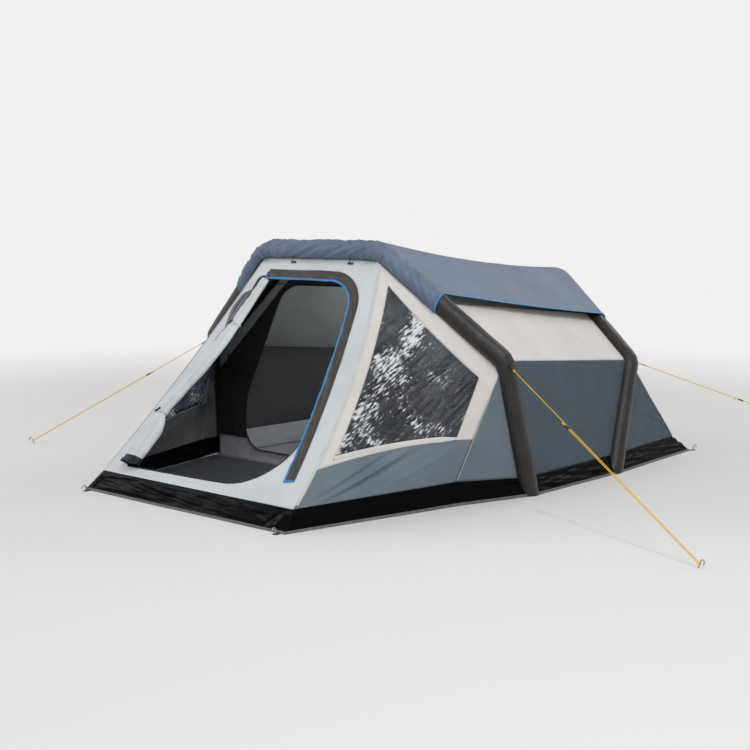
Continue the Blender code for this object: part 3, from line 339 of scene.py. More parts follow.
# sizes of patches, threads and creases and the depth of a crease are in millimetres
clothKeys = ("colour", "shade", "patch", "thread", "weave", "crease", "depth", "roughness", "gloss", "sheen")
clothRows = {
    # solution-dyed 75 denier polyester, polyurethane coated: matt, a little milky
    "paleCloth": ("#d2d7d9", "#c5cbce", 300, 3.0, 0.05, 90, 5.0, 0.72),
    "warmCloth": ("#dbd8d4", "#d0cdc9", 300, 3.0, 0.05, 110, 5.0, 0.72),
    "roofCloth": ("#66758c", "#5c6a80", 350, 3.0, 0.06, 80, 5.0, 0.6, 0.5),
    "slateCloth": ("#4b5864", "#424e59", 320, 3.0, 0.07, 100, 5.0, 0.68),
    "greyCloth": ("#6f7b85", "#65717b", 320, 3.0, 0.06, 90, 5.0, 0.68),
    # inside faces of the fly: a darker grey as painted shade, and for pale cloth a lighter grey as painted light that
    # comes through it
    "clothBack": ("#5f6264", "#545759", 300, 3.0, 0.03, 90, 4.0, 0.6),
    "warmBack": ("#9da2a2", "#8f9494", 300, 3.0, 0.03, 90, 4.0, 0.65),
    # heavy woven sleeve of the air tubes, brown black
    "sleeveCloth": ("#292624", "#201d1c", 200, 4.0, 0.15, 60, 5.0, 0.5, 0.5, 0.15),
    # breathable inner tent cloth; the walls' darker grey is the same cloth, as painted shade under the slate lower fly
    "innerDark": ("#46494a", "#3d4041", 250, 3.0, 0.06, 120, 6.0, 0.85),
    "innerGrey": ("#7f8482", "#747977", 250, 3.0, 0.05, 120, 6.0, 0.85),
    "innerBlack": ("#1c1a1a", "#151414", 250, 3.0, 0.10, 120, 6.0, 0.85),
    # polyethylene groundsheets; the porch's is dark grey, darkened further as painted shade for the shaded porch
    "floorSheet": ("#a3a6ab", "#969a9f", 200, 4.0, 0.06, 80, 7.0, 0.5, 0.5),
    "groundSheet": ("#3d4245", "#34393c", 200, 4.0, 0.06, 90, 8.0, 0.5, 0.5),
    # woven tapes sewn over edges, and the stiff cloth of the storm flap
    "blueTape": ("#4a8dc6", "#4481b6", 60, 3.0, 0.18, 30, 1.0, 0.6),
    "greyTape": ("#6d7072", "#5d6062", 60, 3.0, 0.15, 40, 2.0, 0.7),
    "whiteTape": ("#cfd0cf", "#bfc1c1", 60, 3.0, 0.10, 40, 1.5, 0.7),
    "blackWebbing": ("#1a1a1a", "#141414", 60, 3.5, 0.25, 30, 1.0, 0.6),
    "flapCloth": ("#423d38", "#332f2b", 60, 3.0, 0.14, 50, 4.0, 0.55, 0.5),
}
for name, row in clothRows.items():
    wovenCloth(name, {"gloss": 0.35, "sheen": 0.08, **dict(zip(clothKeys, row))})


def coatedSkirt(name, look):
    # black polyethylene cloth: slippery and glossy, full of sharp little creases
    tree, shader, onCloth, inSpace = newMaterial(name)
    creases = spots(tree, turned(tree, onCloth, 0.25, (1.5, 9.0, 1.0)), 2.0, 6.0, 0.6, 0.8)
    fine = spots(tree, inSpace, spotScale(25), 4.0, 0.6)
    deep = bumped(tree, creases, 0.004, 0.7)
    fillSockets(tree, shader, {
        "Base Color": blended(tree, fine, look["colour"], look["shade"]),
        "Normal": bumped(tree, fine, 0.002, 0.2, deep), "Roughness": look["roughness"],
        "Specular IOR Level": look["gloss"]})


coatedSkirt("skirtSheet", {"colour": "#060607", "shade": "#0a0a0b", "roughness": 0.3, "gloss": 0.04})
# the door's rolled-in window film, seen from its edge
coatedSkirt("rolledFilm", {"colour": "#161b26", "shade": "#232b3c", "roughness": 0.18, "gloss": 0.5})


def clearFilm(name, look):
    # soft PVC window film: smoke tinted, glossy, with long drawn creases that catch the light
    tree, shader, onCloth, inSpace = newMaterial(name)
    slanted = turned(tree, onCloth, math.radians(look["slant"]))
    streaks = spots(tree, turned(tree, slanted, scale=(1.6, 26.0, 1.0)), 1.0, 5.0, 0.65, 0.4)
    dashes = spots(tree, turned(tree, slanted, scale=(22.0, 85.0, 1.0)), 1.0, 3.0, 0.6)
    deep = bumped(tree, streaks, 0.018, 0.9)
    # drawn lines are painted lighter and darker, as painted reflection and shade of the creases, and white flecks are
    # painted glints
    tint = blended(tree, ranged(tree, streaks, 0.42, 0.58), look["shade"], look["colour"])
    # most painted glints gather in a slanting band across the film
    glintPlace = turned(tree, onCloth, math.radians(look["fold"]))
    across = addNode(tree, "SeparateXYZ", {"Vector": glintPlace}).outputs["Y"]
    away = reckoned(tree, "ABSOLUTE", reckoned(tree, "SUBTRACT", across, look["glintPlace"]))
    glintCrowd = reckoned(tree, "ADD", spots(tree, onCloth, spotScale(200), 1.0),
                     ranged(tree, away, 0.0, look["band"], 0.19, -0.02))
    white = ranged(tree, reckoned(tree, "MULTIPLY", dashes, glintCrowd), 0.33, 0.40)
    # where the painted glints are, the film is white and lets less light through
    fillSockets(tree, shader, {
        "Base Color": blended(tree, white, tint, look["glintWhite"]), "Normal": bumped(tree, dashes, 0.006, 0.8, deep),
        "Transmission Weight": ranged(tree, white, toLow=0.78, toHigh=0.15), "Roughness": look["roughness"],
        "IOR": look["ior"]})


# white of the painted glints, and the slant, place and width of the band they gather in
clearFilm("windowFilm", {"colour": "#6b7682", "shade": "#2c3644", "glintWhite": "#e4e8ea", "roughness": 0.07, "ior": 1.5,
                         "slant": 31, "fold": 40, "glintPlace": -0.036, "band": 0.14})


def mouldedPlastic(name, look):
    tree, shader, onCloth, inSpace = newMaterial(name)
    grain = spots(tree, inSpace, spotScale(1.5), 2.0)
    fillSockets(tree, shader, {
        "Base Color": blended(tree, grain, look["colour"], look["shade"]),
        "Normal": bumped(tree, grain, 0.0001, 0.4), "Roughness": look["roughness"], "Metallic": look["metal"]})


# nylon: moulded, faintly grained; steel: drawn wire with a dull zinc coat
mouldedPlastic("blackNylon", {"colour": "#161616", "shade": "#202020", "roughness": 0.42, "metal": 0.0})
mouldedPlastic("zincSteel", {"colour": "#b9bcc0", "shade": "#9ea2a6", "roughness": 0.35, "metal": 1.0})


def braidedCord(name, look):
    # polyester cord: a diagonal braid that follows the cord
    tree, shader, onCloth, inSpace = newMaterial(name)
    braid = reckoned(tree, "MAXIMUM", *[bands(tree, turned(tree, onCloth, math.radians(angle)), look["strand"])
                                        for angle in (35, -35)])
    fillSockets(tree, shader, {
        "Base Color": blended(tree, braid, look["shade"], look["colour"]),
        "Normal": bumped(tree, braid, 0.0005, 0.8), "Roughness": 0.65})


braidedCord("yellowCord", {"colour": "#edc62a", "shade": "#b98a12", "strand": 4.0})
braidedCord("blackCord", {"colour": "#242424", "shade": "#101010", "strand": 3.0})
print("materials made")


# the frame's corners, as in the CAD part

tent = {"tube": 0.0575, "frontLean": -0.317, "rearLean": 0.642, "spacing": 0.897}
clothThick, linerThick, tapeThick, filmThick = 0.0012, 0.0010, 0.0016, 0.0008
bothArches = ["front_arch", "rear_arch"]
# cloth meets its tube a little inside the sleeve's surface
sewnRadius = tent["tube"] * 0.93
clothSlots = {"paleCloth": "pale_cloth", "warmCloth": "side_cloth", "slateCloth": "slate_cloth",
              "greyCloth": "mid_cloth", "windowFilm": "window_film"}


def leaning(x, z, lean, footY):
    return Vector((x, footY + lean * z, z))


def bothSides(points):
    return [flip(point) for point in points[::-1]] + points


frontRight = [leaning(x, z, tent["frontLean"], 0) for x, z in ((0.455, 1.392), (1.205, 0.795), (1.210, 0))]
rearRight = [leaning(x, z, tent["rearLean"], tent["spacing"])
             for x, z in ((0.311, 1.184), (1.083, 0.667), (1.230, 0))]
frontLine, rearLine = bothSides(frontRight), bothSides(rearRight)
frontTop, frontKnee, frontFoot = frontRight
rearTop, rearKnee, rearFoot = rearRight
hemHeight = 0.105
porchCorner = Vector((0.790, -1.503, hemHeight))
foldFoot = Vector((1.064, -0.502, hemHeight + 0.026))
frontHem = mix(frontFoot, frontKnee, hemHeight / frontKnee.z)
rearHem = mix(rearFoot, rearKnee, hemHeight / rearKnee.z)
rearCorner = Vector((1.140, 1.830, hemHeight))


def outwardFrom(point):
    return (point - Vector((0, clamp(point.y, -0.35, 1.30), 0.30))).normalized()


def tapeWay(point, run):
    return outwardFrom(point).cross(run)


def thicken(piece, thickness, backs=0, offset=-1):
    solid = piece.modifiers.new("thickness", "SOLIDIFY")
    solid.thickness, solid.offset, solid.material_offset = thickness, offset, backs


def finishPiece(piece, material, slot, replaces=(), body="tent", smoothShade=True):
    piece.data.materials.append(materials[material])
    if smoothShade:
        for face in piece.data.polygons:
            face.use_smooth = True
    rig.ride(piece, body)
    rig.slot(piece, slot)
    if replaces:
        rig.replaces(piece, *replaces)
    return piece


def openEdges(bm):
    return [edge for edge in bm.edges if len(edge.link_faces) == 1]


def faceOutward(bm):
    bmesh.ops.recalc_face_normals(bm, faces=bm.faces[:])
    if bm.calc_volume(signed=True) < 0:
        bmesh.ops.reverse_faces(bm, faces=bm.faces[:])


def sealed(piece, merge=0.00002, capped=True):
    # joins a skin's seam and closes its ends
    bm = bmesh.new()
    bm.from_mesh(piece.data)
    bmesh.ops.remove_doubles(bm, verts=bm.verts[:], dist=merge)
    if capped:
        bmesh.ops.holes_fill(bm, edges=openEdges(bm), sides=0)
    faceOutward(bm)
    bm.to_mesh(piece.data)
    bm.free()


def newPiece(name, bm):
    mesh = bpy.data.meshes.new(name)
    bm.to_mesh(mesh)
    bm.free()
    piece = bpy.data.objects.new(name, mesh)
    scene.collection.objects.link(piece)
    return piece


def gridSkin(name, columns, rows, pointAt, closed=False, cut=None, size=(1.0, 1.0), outward=outwardFrom, uvAt=None,
             weld=False):
    # a grid laid on the surface pointAt(i, j), with a UV map in metres
    bm = bmesh.new()
    uvLayer = bm.loops.layers.uv.new("UVMap")
    bmesh.ops.create_grid(bm, x_segments=columns, y_segments=rows, size=1.0)
    cells = {}
    for vert in bm.verts:
        cells[vert] = (round((vert.co.x + 1) / 2 * columns), round((vert.co.y + 1) / 2 * rows))
    for face in bm.faces:
        for loop in face.loops:
            i, j = cells[loop.vert]
            loop[uvLayer].uv = uvAt(i, j) if uvAt else (i / columns * size[0], j / rows * size[1])
    if cut:
        gone = [face for face in bm.faces
                if cut(*[sum(cells[vert][axis] for vert in face.verts) / len(face.verts) for axis in (0, 1)])]
        bmesh.ops.delete(bm, geom=gone, context="FACES")
    for vert in bm.verts:
        vert.co = pointAt(*cells[vert])
    if closed or weld:
        bmesh.ops.remove_doubles(bm, verts=bm.verts[:], dist=0.00002)
    if closed:
        faceOutward(bm)
    else:
        bm.normal_update()
        if sum(face.normal.dot(outward(face.calc_center_median())) * face.calc_area() for face in bm.faces) < 0:
            bmesh.ops.reverse_faces(bm, faces=bm.faces[:])
    return newPiece(name, bm)


def foldHeight(u, v, folds):
    # each fold runs between two points of the sheet, in metres
    height = 0.0
    for u0, v0, u1, v1, depth, width in folds:
        du, dv = u1 - u0, v1 - v0
        length = math.hypot(du, dv)
        t = ((u - u0) * du + (v - v0) * dv) / (length * length)
        side = ((u - u0) * dv - (v - v0) * du) / length
        taper = math.sin(math.pi * clamp(t, 0.02, 0.98)) ** 0.7 if -0.05 < t < 1.05 else 0.0
        spread = width * (0.45 + 0.75 * clamp(t))
        height += depth * taper * math.exp(-(side / spread) ** 2)
    return height


def streaked(u, v, streaks):
    # sets of long sharp creases: their slant in degrees, spacing, length, height and seed
    height = 0.0
    for slant, spacing, length, high, seed in streaks:
        c, s = math.cos(math.radians(slant)), math.sin(math.radians(slant))
        height += high * (0.5 - 2.2 * abs(rough((u * s + v * c) / spacing, (u * c - v * s) / length, seed)))
    return height


def crumpled(point, seed, fine):
    first = noise.noise(point * 3.1 + Vector((seed, 0, 0)))
    second = noise.noise(point * 8.3 + Vector((0, seed, 0)))
    third = noise.noise(point * fine + Vector((0, 0, seed)))
    return first * 0.5 + second * 0.3 + third * 0.2


def cutArea(area, flat):
    # a sheet's declared area lies between these shares of its flat rectangle
    return clamp(area, 0.301 * flat[0] * flat[1], flat[0] * flat[1])


def flatArea(surface, columns, rows, cut, flat):
    # the area that the panel is cut to, measured on its surface before folds and slack
    total = 0.0
    for i in range(columns):
        for j in range(rows):
            if cut and cut(i + 0.5, j + 0.5):
                continue
            a, b = surface(i / columns, j / rows), surface((i + 1) / columns, j / rows)
            c, d = surface((i + 1) / columns, (j + 1) / rows), surface(i / columns, (j + 1) / rows)
            total += (c - a).cross(d - b).length / 2
    return cutArea(total, flat)


def skinArea(piece, flat):
    # one layer's area as made, for a sheet whose cut isn't a rectangle
    return cutArea(sum(face.area for face in piece.data.polygons), flat)


def clothSheet(name, surface, columns, rows, look, side=1, cut=None):
    # a sewn panel, pushed out by folds, crumples and slack, and held still along its seams
    width, height = look["size"]
    seed = look.get("seed", 1.0) + (0.0 if side > 0 else 17.0)
    hold = look.get("hold", 0.05)
    # inside faces take the darker back cloth by default: painted shade
    back = look.get("back", "clothBack")
    straight = look.get("straight")

    def flatAt(s, t):
        # where the place lies on the cloth, or along two straight directions across it
        if not straight:
            return s * width, t * height
        here = surface(s, t) - surface(0, 1)
        return here.dot(straight[0]), here.dot(straight[1])

    def pointAt(i, j):
        s, t = i / columns, j / rows
        here = surface(s, t)
        step = 0.004
        a = surface(clamp(s + step), t) - surface(clamp(s - step), t)
        b = surface(s, clamp(t + step)) - surface(s, clamp(t - step))
        normal = a.cross(b)
        normal = normal.normalized() if normal.length > 1e-12 else outwardFrom(here)
        if normal.dot(outwardFrom(here)) < 0:
            normal = -normal
        edges = [(s * width, "l"), ((1 - s) * width, "r"), (t * height, "t"), ((1 - t) * height, "b")]
        loose = smooth(min(distance for distance, letter in edges if letter not in look.get("free", "")) / hold)
        push = foldHeight(s * width, t * height, look.get("folds", ())) * loose
        push += crumpled(here, seed, look.get("fine", 22.0)) * look.get("crumple", 0.004) * loose
        push += streaked(*flatAt(s, t), look.get("streaks", ())) * loose
        push -= 16 * s * (1 - s) * t * (1 - t) * look.get("sag", 0.0)
        point = here + normal * push
        return point if side > 0 else flip(point)

    piece = gridSkin(name, columns, rows, pointAt, cut=cut, size=look["size"],
                     uvAt=lambda i, j: flatAt(i / columns, j / rows))
    thicken(piece, look.get("thickness", clothThick), 1 if back else 0)
    finishPiece(piece, look["cloth"], clothSlots[look["cloth"]], (look["node"],))
    if back:
        piece.data.materials.append(materials[back])
    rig.sheet(piece, flat=look["flat"], held="stretched", rests_on=look.get("rests", bothArches),
             area=flatArea(surface, columns, rows, cut, look["flat"]))
    return piece


def distanceToLine(point, line):
    best = 9.0
    for a, b in zip(line, line[1:]):
        run = b - a
        t = clamp((point - a).dot(run) / run.length_squared)
        best = min(best, (point - a - run * t).length)
    return best


def offTube(surface, s, line, reach, start=0.0, way=1):
    # the first share of the sheet that is clear of a tube, searched from one edge
    low, high = 0.0, 0.5
    for _ in range(18):
        middle = (low + high) / 2
        if distanceToLine(surface(s, start + way * middle), line) < reach:
            low = middle
        else:
            high = middle
    return start + way * high


def measured(path):
    lengths = [0.0]
    for a, b in zip(path, path[1:]):
        lengths.append(lengths[-1] + (b - a).length)
    return lengths


def sweep(name, path, radiusAt, around=12):
    # a rod along the path, with closed ends
    rings = len(path) - 1
    lengths = measured(path)
    frames = []
    side = None
    for index in range(len(path)):
        a, b = path[max(index - 1, 0)], path[min(index + 1, rings)]
        run = (b - a).normalized()
        if side is None:
            side = run.cross(zAxis)
            side = side.normalized() if side.length > 0.01 else run.cross(xAxis).normalized()
        side = (side - side.dot(run) * run).normalized()
        frames.append((side, run.cross(side)))

    def pointAt(i, j):
        angle = 2 * math.pi * i / around
        a, b = frames[j]
        return path[j] + (a * math.cos(angle) + b * math.sin(angle)) * radiusAt(lengths[j] / lengths[-1], angle)

    piece = gridSkin(name, around, rings, pointAt, size=(2 * math.pi * radiusAt(0.5, 0), lengths[-1]),
                     outward=lambda point: Vector((0, 0, 0)))
    sealed(piece, 0.00001)
    return piece


def spline(points, count):
    path = []
    spans = len(points) - 1
    for index in range(count + 1):
        place = index / count * spans
        k = min(int(place), spans - 1)
        t = place - k
        p0, p1, p2, p3 = (points[max(k - 1, 0)], points[k], points[k + 1], points[min(k + 2, spans)])
        path.append((p1 * 2 + (p2 - p0) * t + (p0 * 2 - p1 * 5 + p2 * 4 - p3) * t * t
                     + (p1 * 3 - p0 - p2 * 3 + p3) * t * t * t) * 0.5)
    return path


def strap(name, points, width, thickness, material, slot, across, taper=None):
    # across(point, run) gives the direction of the strap's width
    rows = len(points) - 1

    def pointAt(i, j):
        a, b = points[max(j - 1, 0)], points[min(j + 1, rows)]
        run = (b - a).normalized()
        side = across(points[j], run)
        side = (side - side.dot(run) * run).normalized()
        half = width / 2 * (taper(j / rows) if taper else 1.0)
        return points[j] + side * half * (i - 1)

    piece = gridSkin(name, 2, rows, pointAt, size=(width, measured(points)[-1]))
    thicken(piece, thickness, offset=0)
    bevel = piece.modifiers.new("edge", "BEVEL")
    bevel.width, bevel.segments, bevel.limit_method = thickness * 0.3, 2, "ANGLE"
    return finishPiece(piece, material, slot)


# guy lines first: their routes are those of the part

guyLook = {"diameter": 0.0045, "tabReach": 0.035, "pegRadius": 0.003, "loop": 0.018, "gap": 0.0003,
           "runner": 0.032, "tail": 0.030, "pegHead": 0.020, "pegLength": 0.180, "hook": 0.011, "drop": 0.010,
           "tab": 0.020}
guyPlaces = {
    "front_right": (frontKnee, 2.690, -0.800, 0.338),
    "front_left": (flip(frontKnee), -2.440, -0.890, 0.315),
    "rear_right": (rearKnee, 2.446, 2.500, 0.378),
    "rear_left": (flip(rearKnee), -2.446, 2.500, 0.378),
}
cordRadius = guyLook["diameter"] / 2
strandGap = guyLook["pegRadius"] + cordRadius + guyLook["gap"]


def makePeg(name, centre, up, away, head):
    # a straight pin whose top is bent over to a hook
    shaft, hook = guyLook["pegLength"] - head, guyLook["hook"]
    path = [centre - up * shaft + up * shaft * n / 6 for n in range(6)] + [centre, centre + up * head]
    for step in range(1, 17):
        angle = math.pi * step / 16
        path.append(centre + up * head + away * hook * (1 - math.cos(angle)) + up * hook * math.sin(angle))
    path.append(path[-1] - up * guyLook["drop"])

    def radiusAt(share, angle):
        # a ground tip, and a hook end that is rounded off
        return guyLook["pegRadius"] * (0.25 + 0.75 * clamp(share / 0.05)) * (0.6 + 0.4 * clamp((1 - share) / 0.01))

    return finishPiece(sweep(name + "_wire", path, radiusAt, 14), "zincSteel", "steel", (name,))


def guyRun(knee, pegX, pegY):
    # the peg's loop, the eye at the tab, the line's direction, and the way from one strand to the other
    peg = Vector((pegX, pegY, guyLook["loop"]))
    aside = zAxis.cross((peg - knee) * Vector((1, 1, 0))).normalized()
    direction = (peg + aside * strandGap - knee).normalized()
    aside = (aside - aside.dot(direction) * direction).normalized()
    return peg, knee + direction * (tent["tube"] + guyLook["tabReach"] + guyLook["gap"]), direction, aside


for side, (knee, pegX, pegY, share) in guyPlaces.items():
    peg, start, direction, aside = guyRun(knee, pegX, pegY)
    near, far = peg + aside * strandGap, peg - aside * strandGap
    route = [mix(start, near, n / 16) for n in range(17)]
    for step in range(1, 12):
        angle = math.pi * step / 12
        route.append(peg + (aside * math.cos(angle) + direction * math.sin(angle)) * strandGap)
    full = (near - start).length
    tail = far - direction * (full - full * share + guyLook["runner"] / 2 + guyLook["tail"])
    route += [mix(far, tail, n / 12) for n in range(13)]
    cordPiece = sweep("guyLine_" + side, route, lambda share, angle: cordRadius, 10)
    finishPiece(cordPiece, "yellowCord", "cord", ("guy_line_" + side,))
    # knots: turns round the cord at the tab, and a stopper behind the runner
    knots = []
    other = direction.cross(aside)
    for label, centre, turns in (("eyeKnot_", start + direction * 0.012, 3),
                                 ("stopKnot_", tail + direction * 0.010, 2)):
        helix = []
        for step in range(turns * 14 + 1):
            angle = 2 * math.pi * step / 14
            helix.append(centre + direction * (step / 14 - turns / 2) * cordRadius * 2.2
                         + (aside * math.cos(angle) + other * math.sin(angle)) * cordRadius * 1.55)
        knot = sweep(label + side, helix, lambda share, angle: cordRadius * 0.85, 8)
        knots.append(finishPiece(knot, "yellowCord", "cord"))
    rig.cord(cordPiece, exit=tuple(start), length=measured(route)[-1], diameter=guyLook["diameter"], far_end="knot",
            stiffness="limp", lay="taut", path=[tuple(point) for point in route], with_pieces=knots)
    up = aside.cross(direction).normalized()
    makePeg("guy_peg_" + side, peg, up if up.z > 0 else -up, direction, guyLook["pegHead"])
print("guy lines made")


def spanLengths(line):
    return [(b - a).length for a, b in zip(line, line[1:])]


def placeAlong(lengths, reach):
    # number of the span that a reach falls in, plus the share of that span
    for index, length in enumerate(lengths):
        if reach <= length or index == len(lengths) - 1:
            return index + clamp(reach / length)
        reach -= length


# air-tube arches in their sleeves

sleeveLook = {"round": 0.045, "around": 56, "along": 300, "slim": 0.985, "dent": 0.010, "gather": 0.0035,
              "reach": 0.07, "bumps": 0.0022, "creases": 0.0012, "fin": 0.004, "finAt": 1.15, "finWidth": 0.07}


def archSleeve(name, line, node, seed):
    spans = spanLengths(line)
    total = sum(spans)
    rows, around = sleeveLook["along"], sleeveLook["around"]
    marks = [placeAlong(spans, total * j / rows) for j in range(rows + 1)]
    normal = (line[2] - line[0]).cross(line[3] - line[0]).normalized()

    def pointAt(i, j):
        w = marks[j]
        here = softened(line, w, sleeveLook["round"])
        after, before = [softened(line, clamp(w + step, 0, 5), sleeveLook["round"]) for step in (0.01, -0.01)]
        out = (after - before).normalized().cross(normal)
        if out.z + abs(out.x) * 0.5 < 0 or out.dot(here - Vector((0, here.y, 0.2))) < 0:
            out = -out
        angle = 2 * math.pi * (i % around) / around
        c, s = math.cos(angle), math.sin(angle)
        inner = max(0.0, -s)
        near = math.exp(-(min(abs(w - k) * spans[min(int(w), 4)] for k in (1, 2, 3, 4)) / sleeveLook["reach"]) ** 2)
        radius = tent["tube"] * sleeveLook["slim"]
        radius -= near * inner * sleeveLook["dent"]
        radius += near * sleeveLook["gather"] * math.sin(w * 150 + c * 1.5) * (0.35 + inner)
        radius += sleeveLook["bumps"] * rough(w * 6, c * 1.2, s * 1.2 + seed)
        radius += sleeveLook["creases"] * rough(w * 26, c * 2, s * 2 + seed)
        # the sleeve's seam stands up as a low fin on the outside
        radius += sleeveLook["fin"] * math.exp(-((angle - sleeveLook["finAt"]) / sleeveLook["finWidth"]) ** 2)
        point = here + (out * s + normal * c) * min(radius, tent["tube"] + sleeveLook["fin"])
        foot, above = (line[0], line[1]) if w < 2.5 else (line[5], line[4])
        leg = (above - foot).normalized()
        if point.z < 0.0006 or j in (0, rows):
            point += leg * (0.0006 - point.z) / leg.z
        return point

    piece = gridSkin(name, around, rows, pointAt, size=(0.36, total))
    sealed(piece)
    finishPiece(piece, "sleeveCloth", "air_tube", (node,))
    # from inside, pale cloth lies over the sleeve
    piece.data.materials.append(materials["innerGrey"])
    for face in piece.data.polygons:
        inwards = Vector((0, face.center.y, 0.45)) - face.center
        if face.center.z > 0.30 and inwards.normalized().dot(face.normal) > 0.80:
            face.material_index = 1
    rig.padded(piece, fill=1.0)


archSleeve("frontSleeve", frontLine, "front_arch", 1.0)
archSleeve("rearSleeve", rearLine, "rear_arch", 5.0)

# webbing tabs on the knees, folded round the guy line's eye
for side, (knee, pegX, pegY, share) in guyPlaces.items():
    run = (Vector((pegX, pegY, guyLook["loop"])) - knee).normalized()
    root = knee + run * (tent["tube"] - 0.004)
    tip = knee + run * (tent["tube"] + guyLook["tabReach"] - 0.003)
    sideways = zAxis.cross(run).normalized()
    lift = run.cross(sideways) * 0.0022
    loop = [mix(root, tip, n / 5) + lift * (1 if n > 0 else 0.4) for n in range(6)]
    loop += [tip + run * 0.0020 + lift * 0.5, tip + run * 0.0026, tip + run * 0.0020 - lift * 0.5]
    loop += [mix(tip, root, n / 5) - lift * (1 if n < 5 else 0.4) for n in range(6)]
    strap("kneeTab_" + side, loop, guyLook["tab"], clothThick, "blackWebbing", "air_tube",
          lambda point, run: sideways)
print("arches made")


# roof cover: one sheet over both tubes, gathered where it turns the shoulders

coverLook = {"end": 0.465, "leftEnd": 0.400, "rearEnd": 0.55, "margin": math.radians(13), "lift": 0.0045,
             "around": 220, "wrap": 22, "span": 52, "sag": 0.034, "bag": 0.014, "size": (2.0, 2.3), "round": 0.05,
             "flat": (2.45, 2.3), "area": 4.4}
coverFolds = {"left": ((82, 0.024, 0.25, 0.015, 5.0),),
              "right": ((40, 0.040, 0.30, 0.010, 7.0), (80, 0.022, 0.20, 0.005, 12.0)),
              "top": ((-24, 0.034, 0.30, 0.013, 2.0), (-38, 0.020, 0.14, 0.006, 9.0))}

# places on the front wall, whose cloth hangs in and whose hips bow out: x across, v up, h outwards
wallLook = {"sag": 0.059, "bow": 0.0475, "rows": 8}
wallFoot = Vector((0, porchCorner.y, hemHeight))
wallUp = Vector((0, frontTop.y, frontTop.z)) - wallFoot
wallLength = wallUp.length
wallUp.normalize()
wallOut = xAxis.cross(wallUp)


def hollow(v):
    t = clamp(v / wallLength)
    return 4 * t * (1 - t)


def onWall(x, v, h=0.0):
    return wallFoot + Vector((x, 0, 0)) + wallUp * v + wallOut * (h - wallLook["sag"] * hollow(v))


def wallHalf(v):
    return mix(porchCorner.x, frontTop.x, v / wallLength) + wallLook["bow"] * hollow(v)


def facetEnds(v):
    # where the CAD's straight facet at v begins and ends, up the slope
    rows = wallLook["rows"]
    row = math.floor(v / wallLength * rows)
    return wallLength * row / rows, wallLength * (row + 1) / rows


def facetOut(v):
    # outward direction of that facet
    low, high = facetEnds(v)
    return xAxis.cross(onWall(0, high) - onWall(0, low)).normalized()


def facetAt(x, v, h):
    # the same place on that facet, raised by h
    low, high = facetEnds(v)
    share = (v - low) / (high - low)
    return mix(onWall(x, low), onWall(x, high), share) + facetOut(v) * h


def porchSkin(s, t):
    v = wallLength * (1 - t)
    return mix(onWall(wallHalf(v), v), mix(frontKnee, foldFoot, t), s)


def squareTo(line, other, w):
    # backward and outward directions at w, turned smoothly through a kink
    def straight(index):
        run = (line[index + 1] - line[index]).normalized()
        back = other[index] - line[index]
        back = (back - back.dot(run) * run).normalized()
        out = back.cross(run)
        return back, (out if out.z > 0 else -out)

    near = round(w)
    if 0 < near < 5 and abs(w - near) < 0.09:
        t = smooth((w - near) / 0.18 + 0.5)
        (backA, outA), (backB, outB) = straight(near - 1), straight(near)
        return mix(backA, backB, t).normalized(), mix(outA, outB, t).normalized()
    return straight(int(clamp(math.floor(w), 0, 4)))


def clothWay(w, front):
    # direction in which the wall's cloth leaves the tube at w
    side = abs(w - 2.5)
    s = clamp(side - 0.5)
    if front:
        shoulder = (porchSkin(s, 0.125) - porchSkin(s, 0)).normalized()
        middle = (onWall(0, wallLength * 0.875) - onWall(0, wallLength)).normalized()
    else:
        shoulder = (rearCorner - mix(rearTop, rearKnee, s)).normalized()
        middle = (rearCorner - rearTop - Vector((rearCorner.x - rearTop.x, 0, 0))).normalized()
    if w < 2.5:
        shoulder = flip(shoulder)
    return mix(middle, shoulder, smooth((side - 0.42) / 0.16)).normalized()


def coverPoint(w, k):
    # k runs 0..1 over the front wrap, 1..2 over the roof, 2..3 over the rear wrap
    rearW = w
    if abs(w - 2.5) > 0.5:
        slip = (abs(w - 2.5) - 0.5) / coverLook["end"] * (coverLook["rearEnd"] - coverLook["end"])
        rearW = w + math.copysign(slip, w - 2.5)
    front, rear = softened(frontLine, w, coverLook["round"]), softened(rearLine, rearW, coverLook["round"])
    radius = tent["tube"] + coverLook["lift"]

    def wrapped(line, other, centre, way, share):
        back, out = squareTo(line, other, w)
        start = math.atan2(way.dot(out), -way.dot(back)) + coverLook["margin"]
        angle = mix(start, math.pi / 2, share)
        # the edge hugs the tube, and the cloth bags a little above it
        bag = 0.004 * math.sin(math.pi * clamp(share * 1.2))
        return centre + (out * math.sin(angle) - back * math.cos(angle)) * (radius + bag)

    if k <= 1:
        return wrapped(frontLine, rearLine, front, clothWay(w, True), k)
    if k >= 2:
        return wrapped(rearLine, frontLine, rear, clothWay(w, False), 3 - k)
    a = wrapped(frontLine, rearLine, front, clothWay(w, True), 1)
    b = wrapped(rearLine, frontLine, rear, clothWay(w, False), 1)
    share = k - 1
    down = coverLook["sag"] * (4 * share * (1 - share)) * (1 - 0.75 * smooth((abs(w - 2.5) - 0.5) / 0.5))
    return mix(a, b, share) - Vector((0, 0, down))


coverSpan = [2 - coverLook["leftEnd"], 3 + coverLook["end"]]
coverRows = coverLook["wrap"] * 2 + coverLook["span"]


def coverK(j):
    wrap, span = coverLook["wrap"], coverLook["span"]
    if j <= wrap:
        return j / wrap
    if j <= wrap + span:
        return 1 + (j - wrap) / span
    return 2 + (j - wrap - span) / wrap


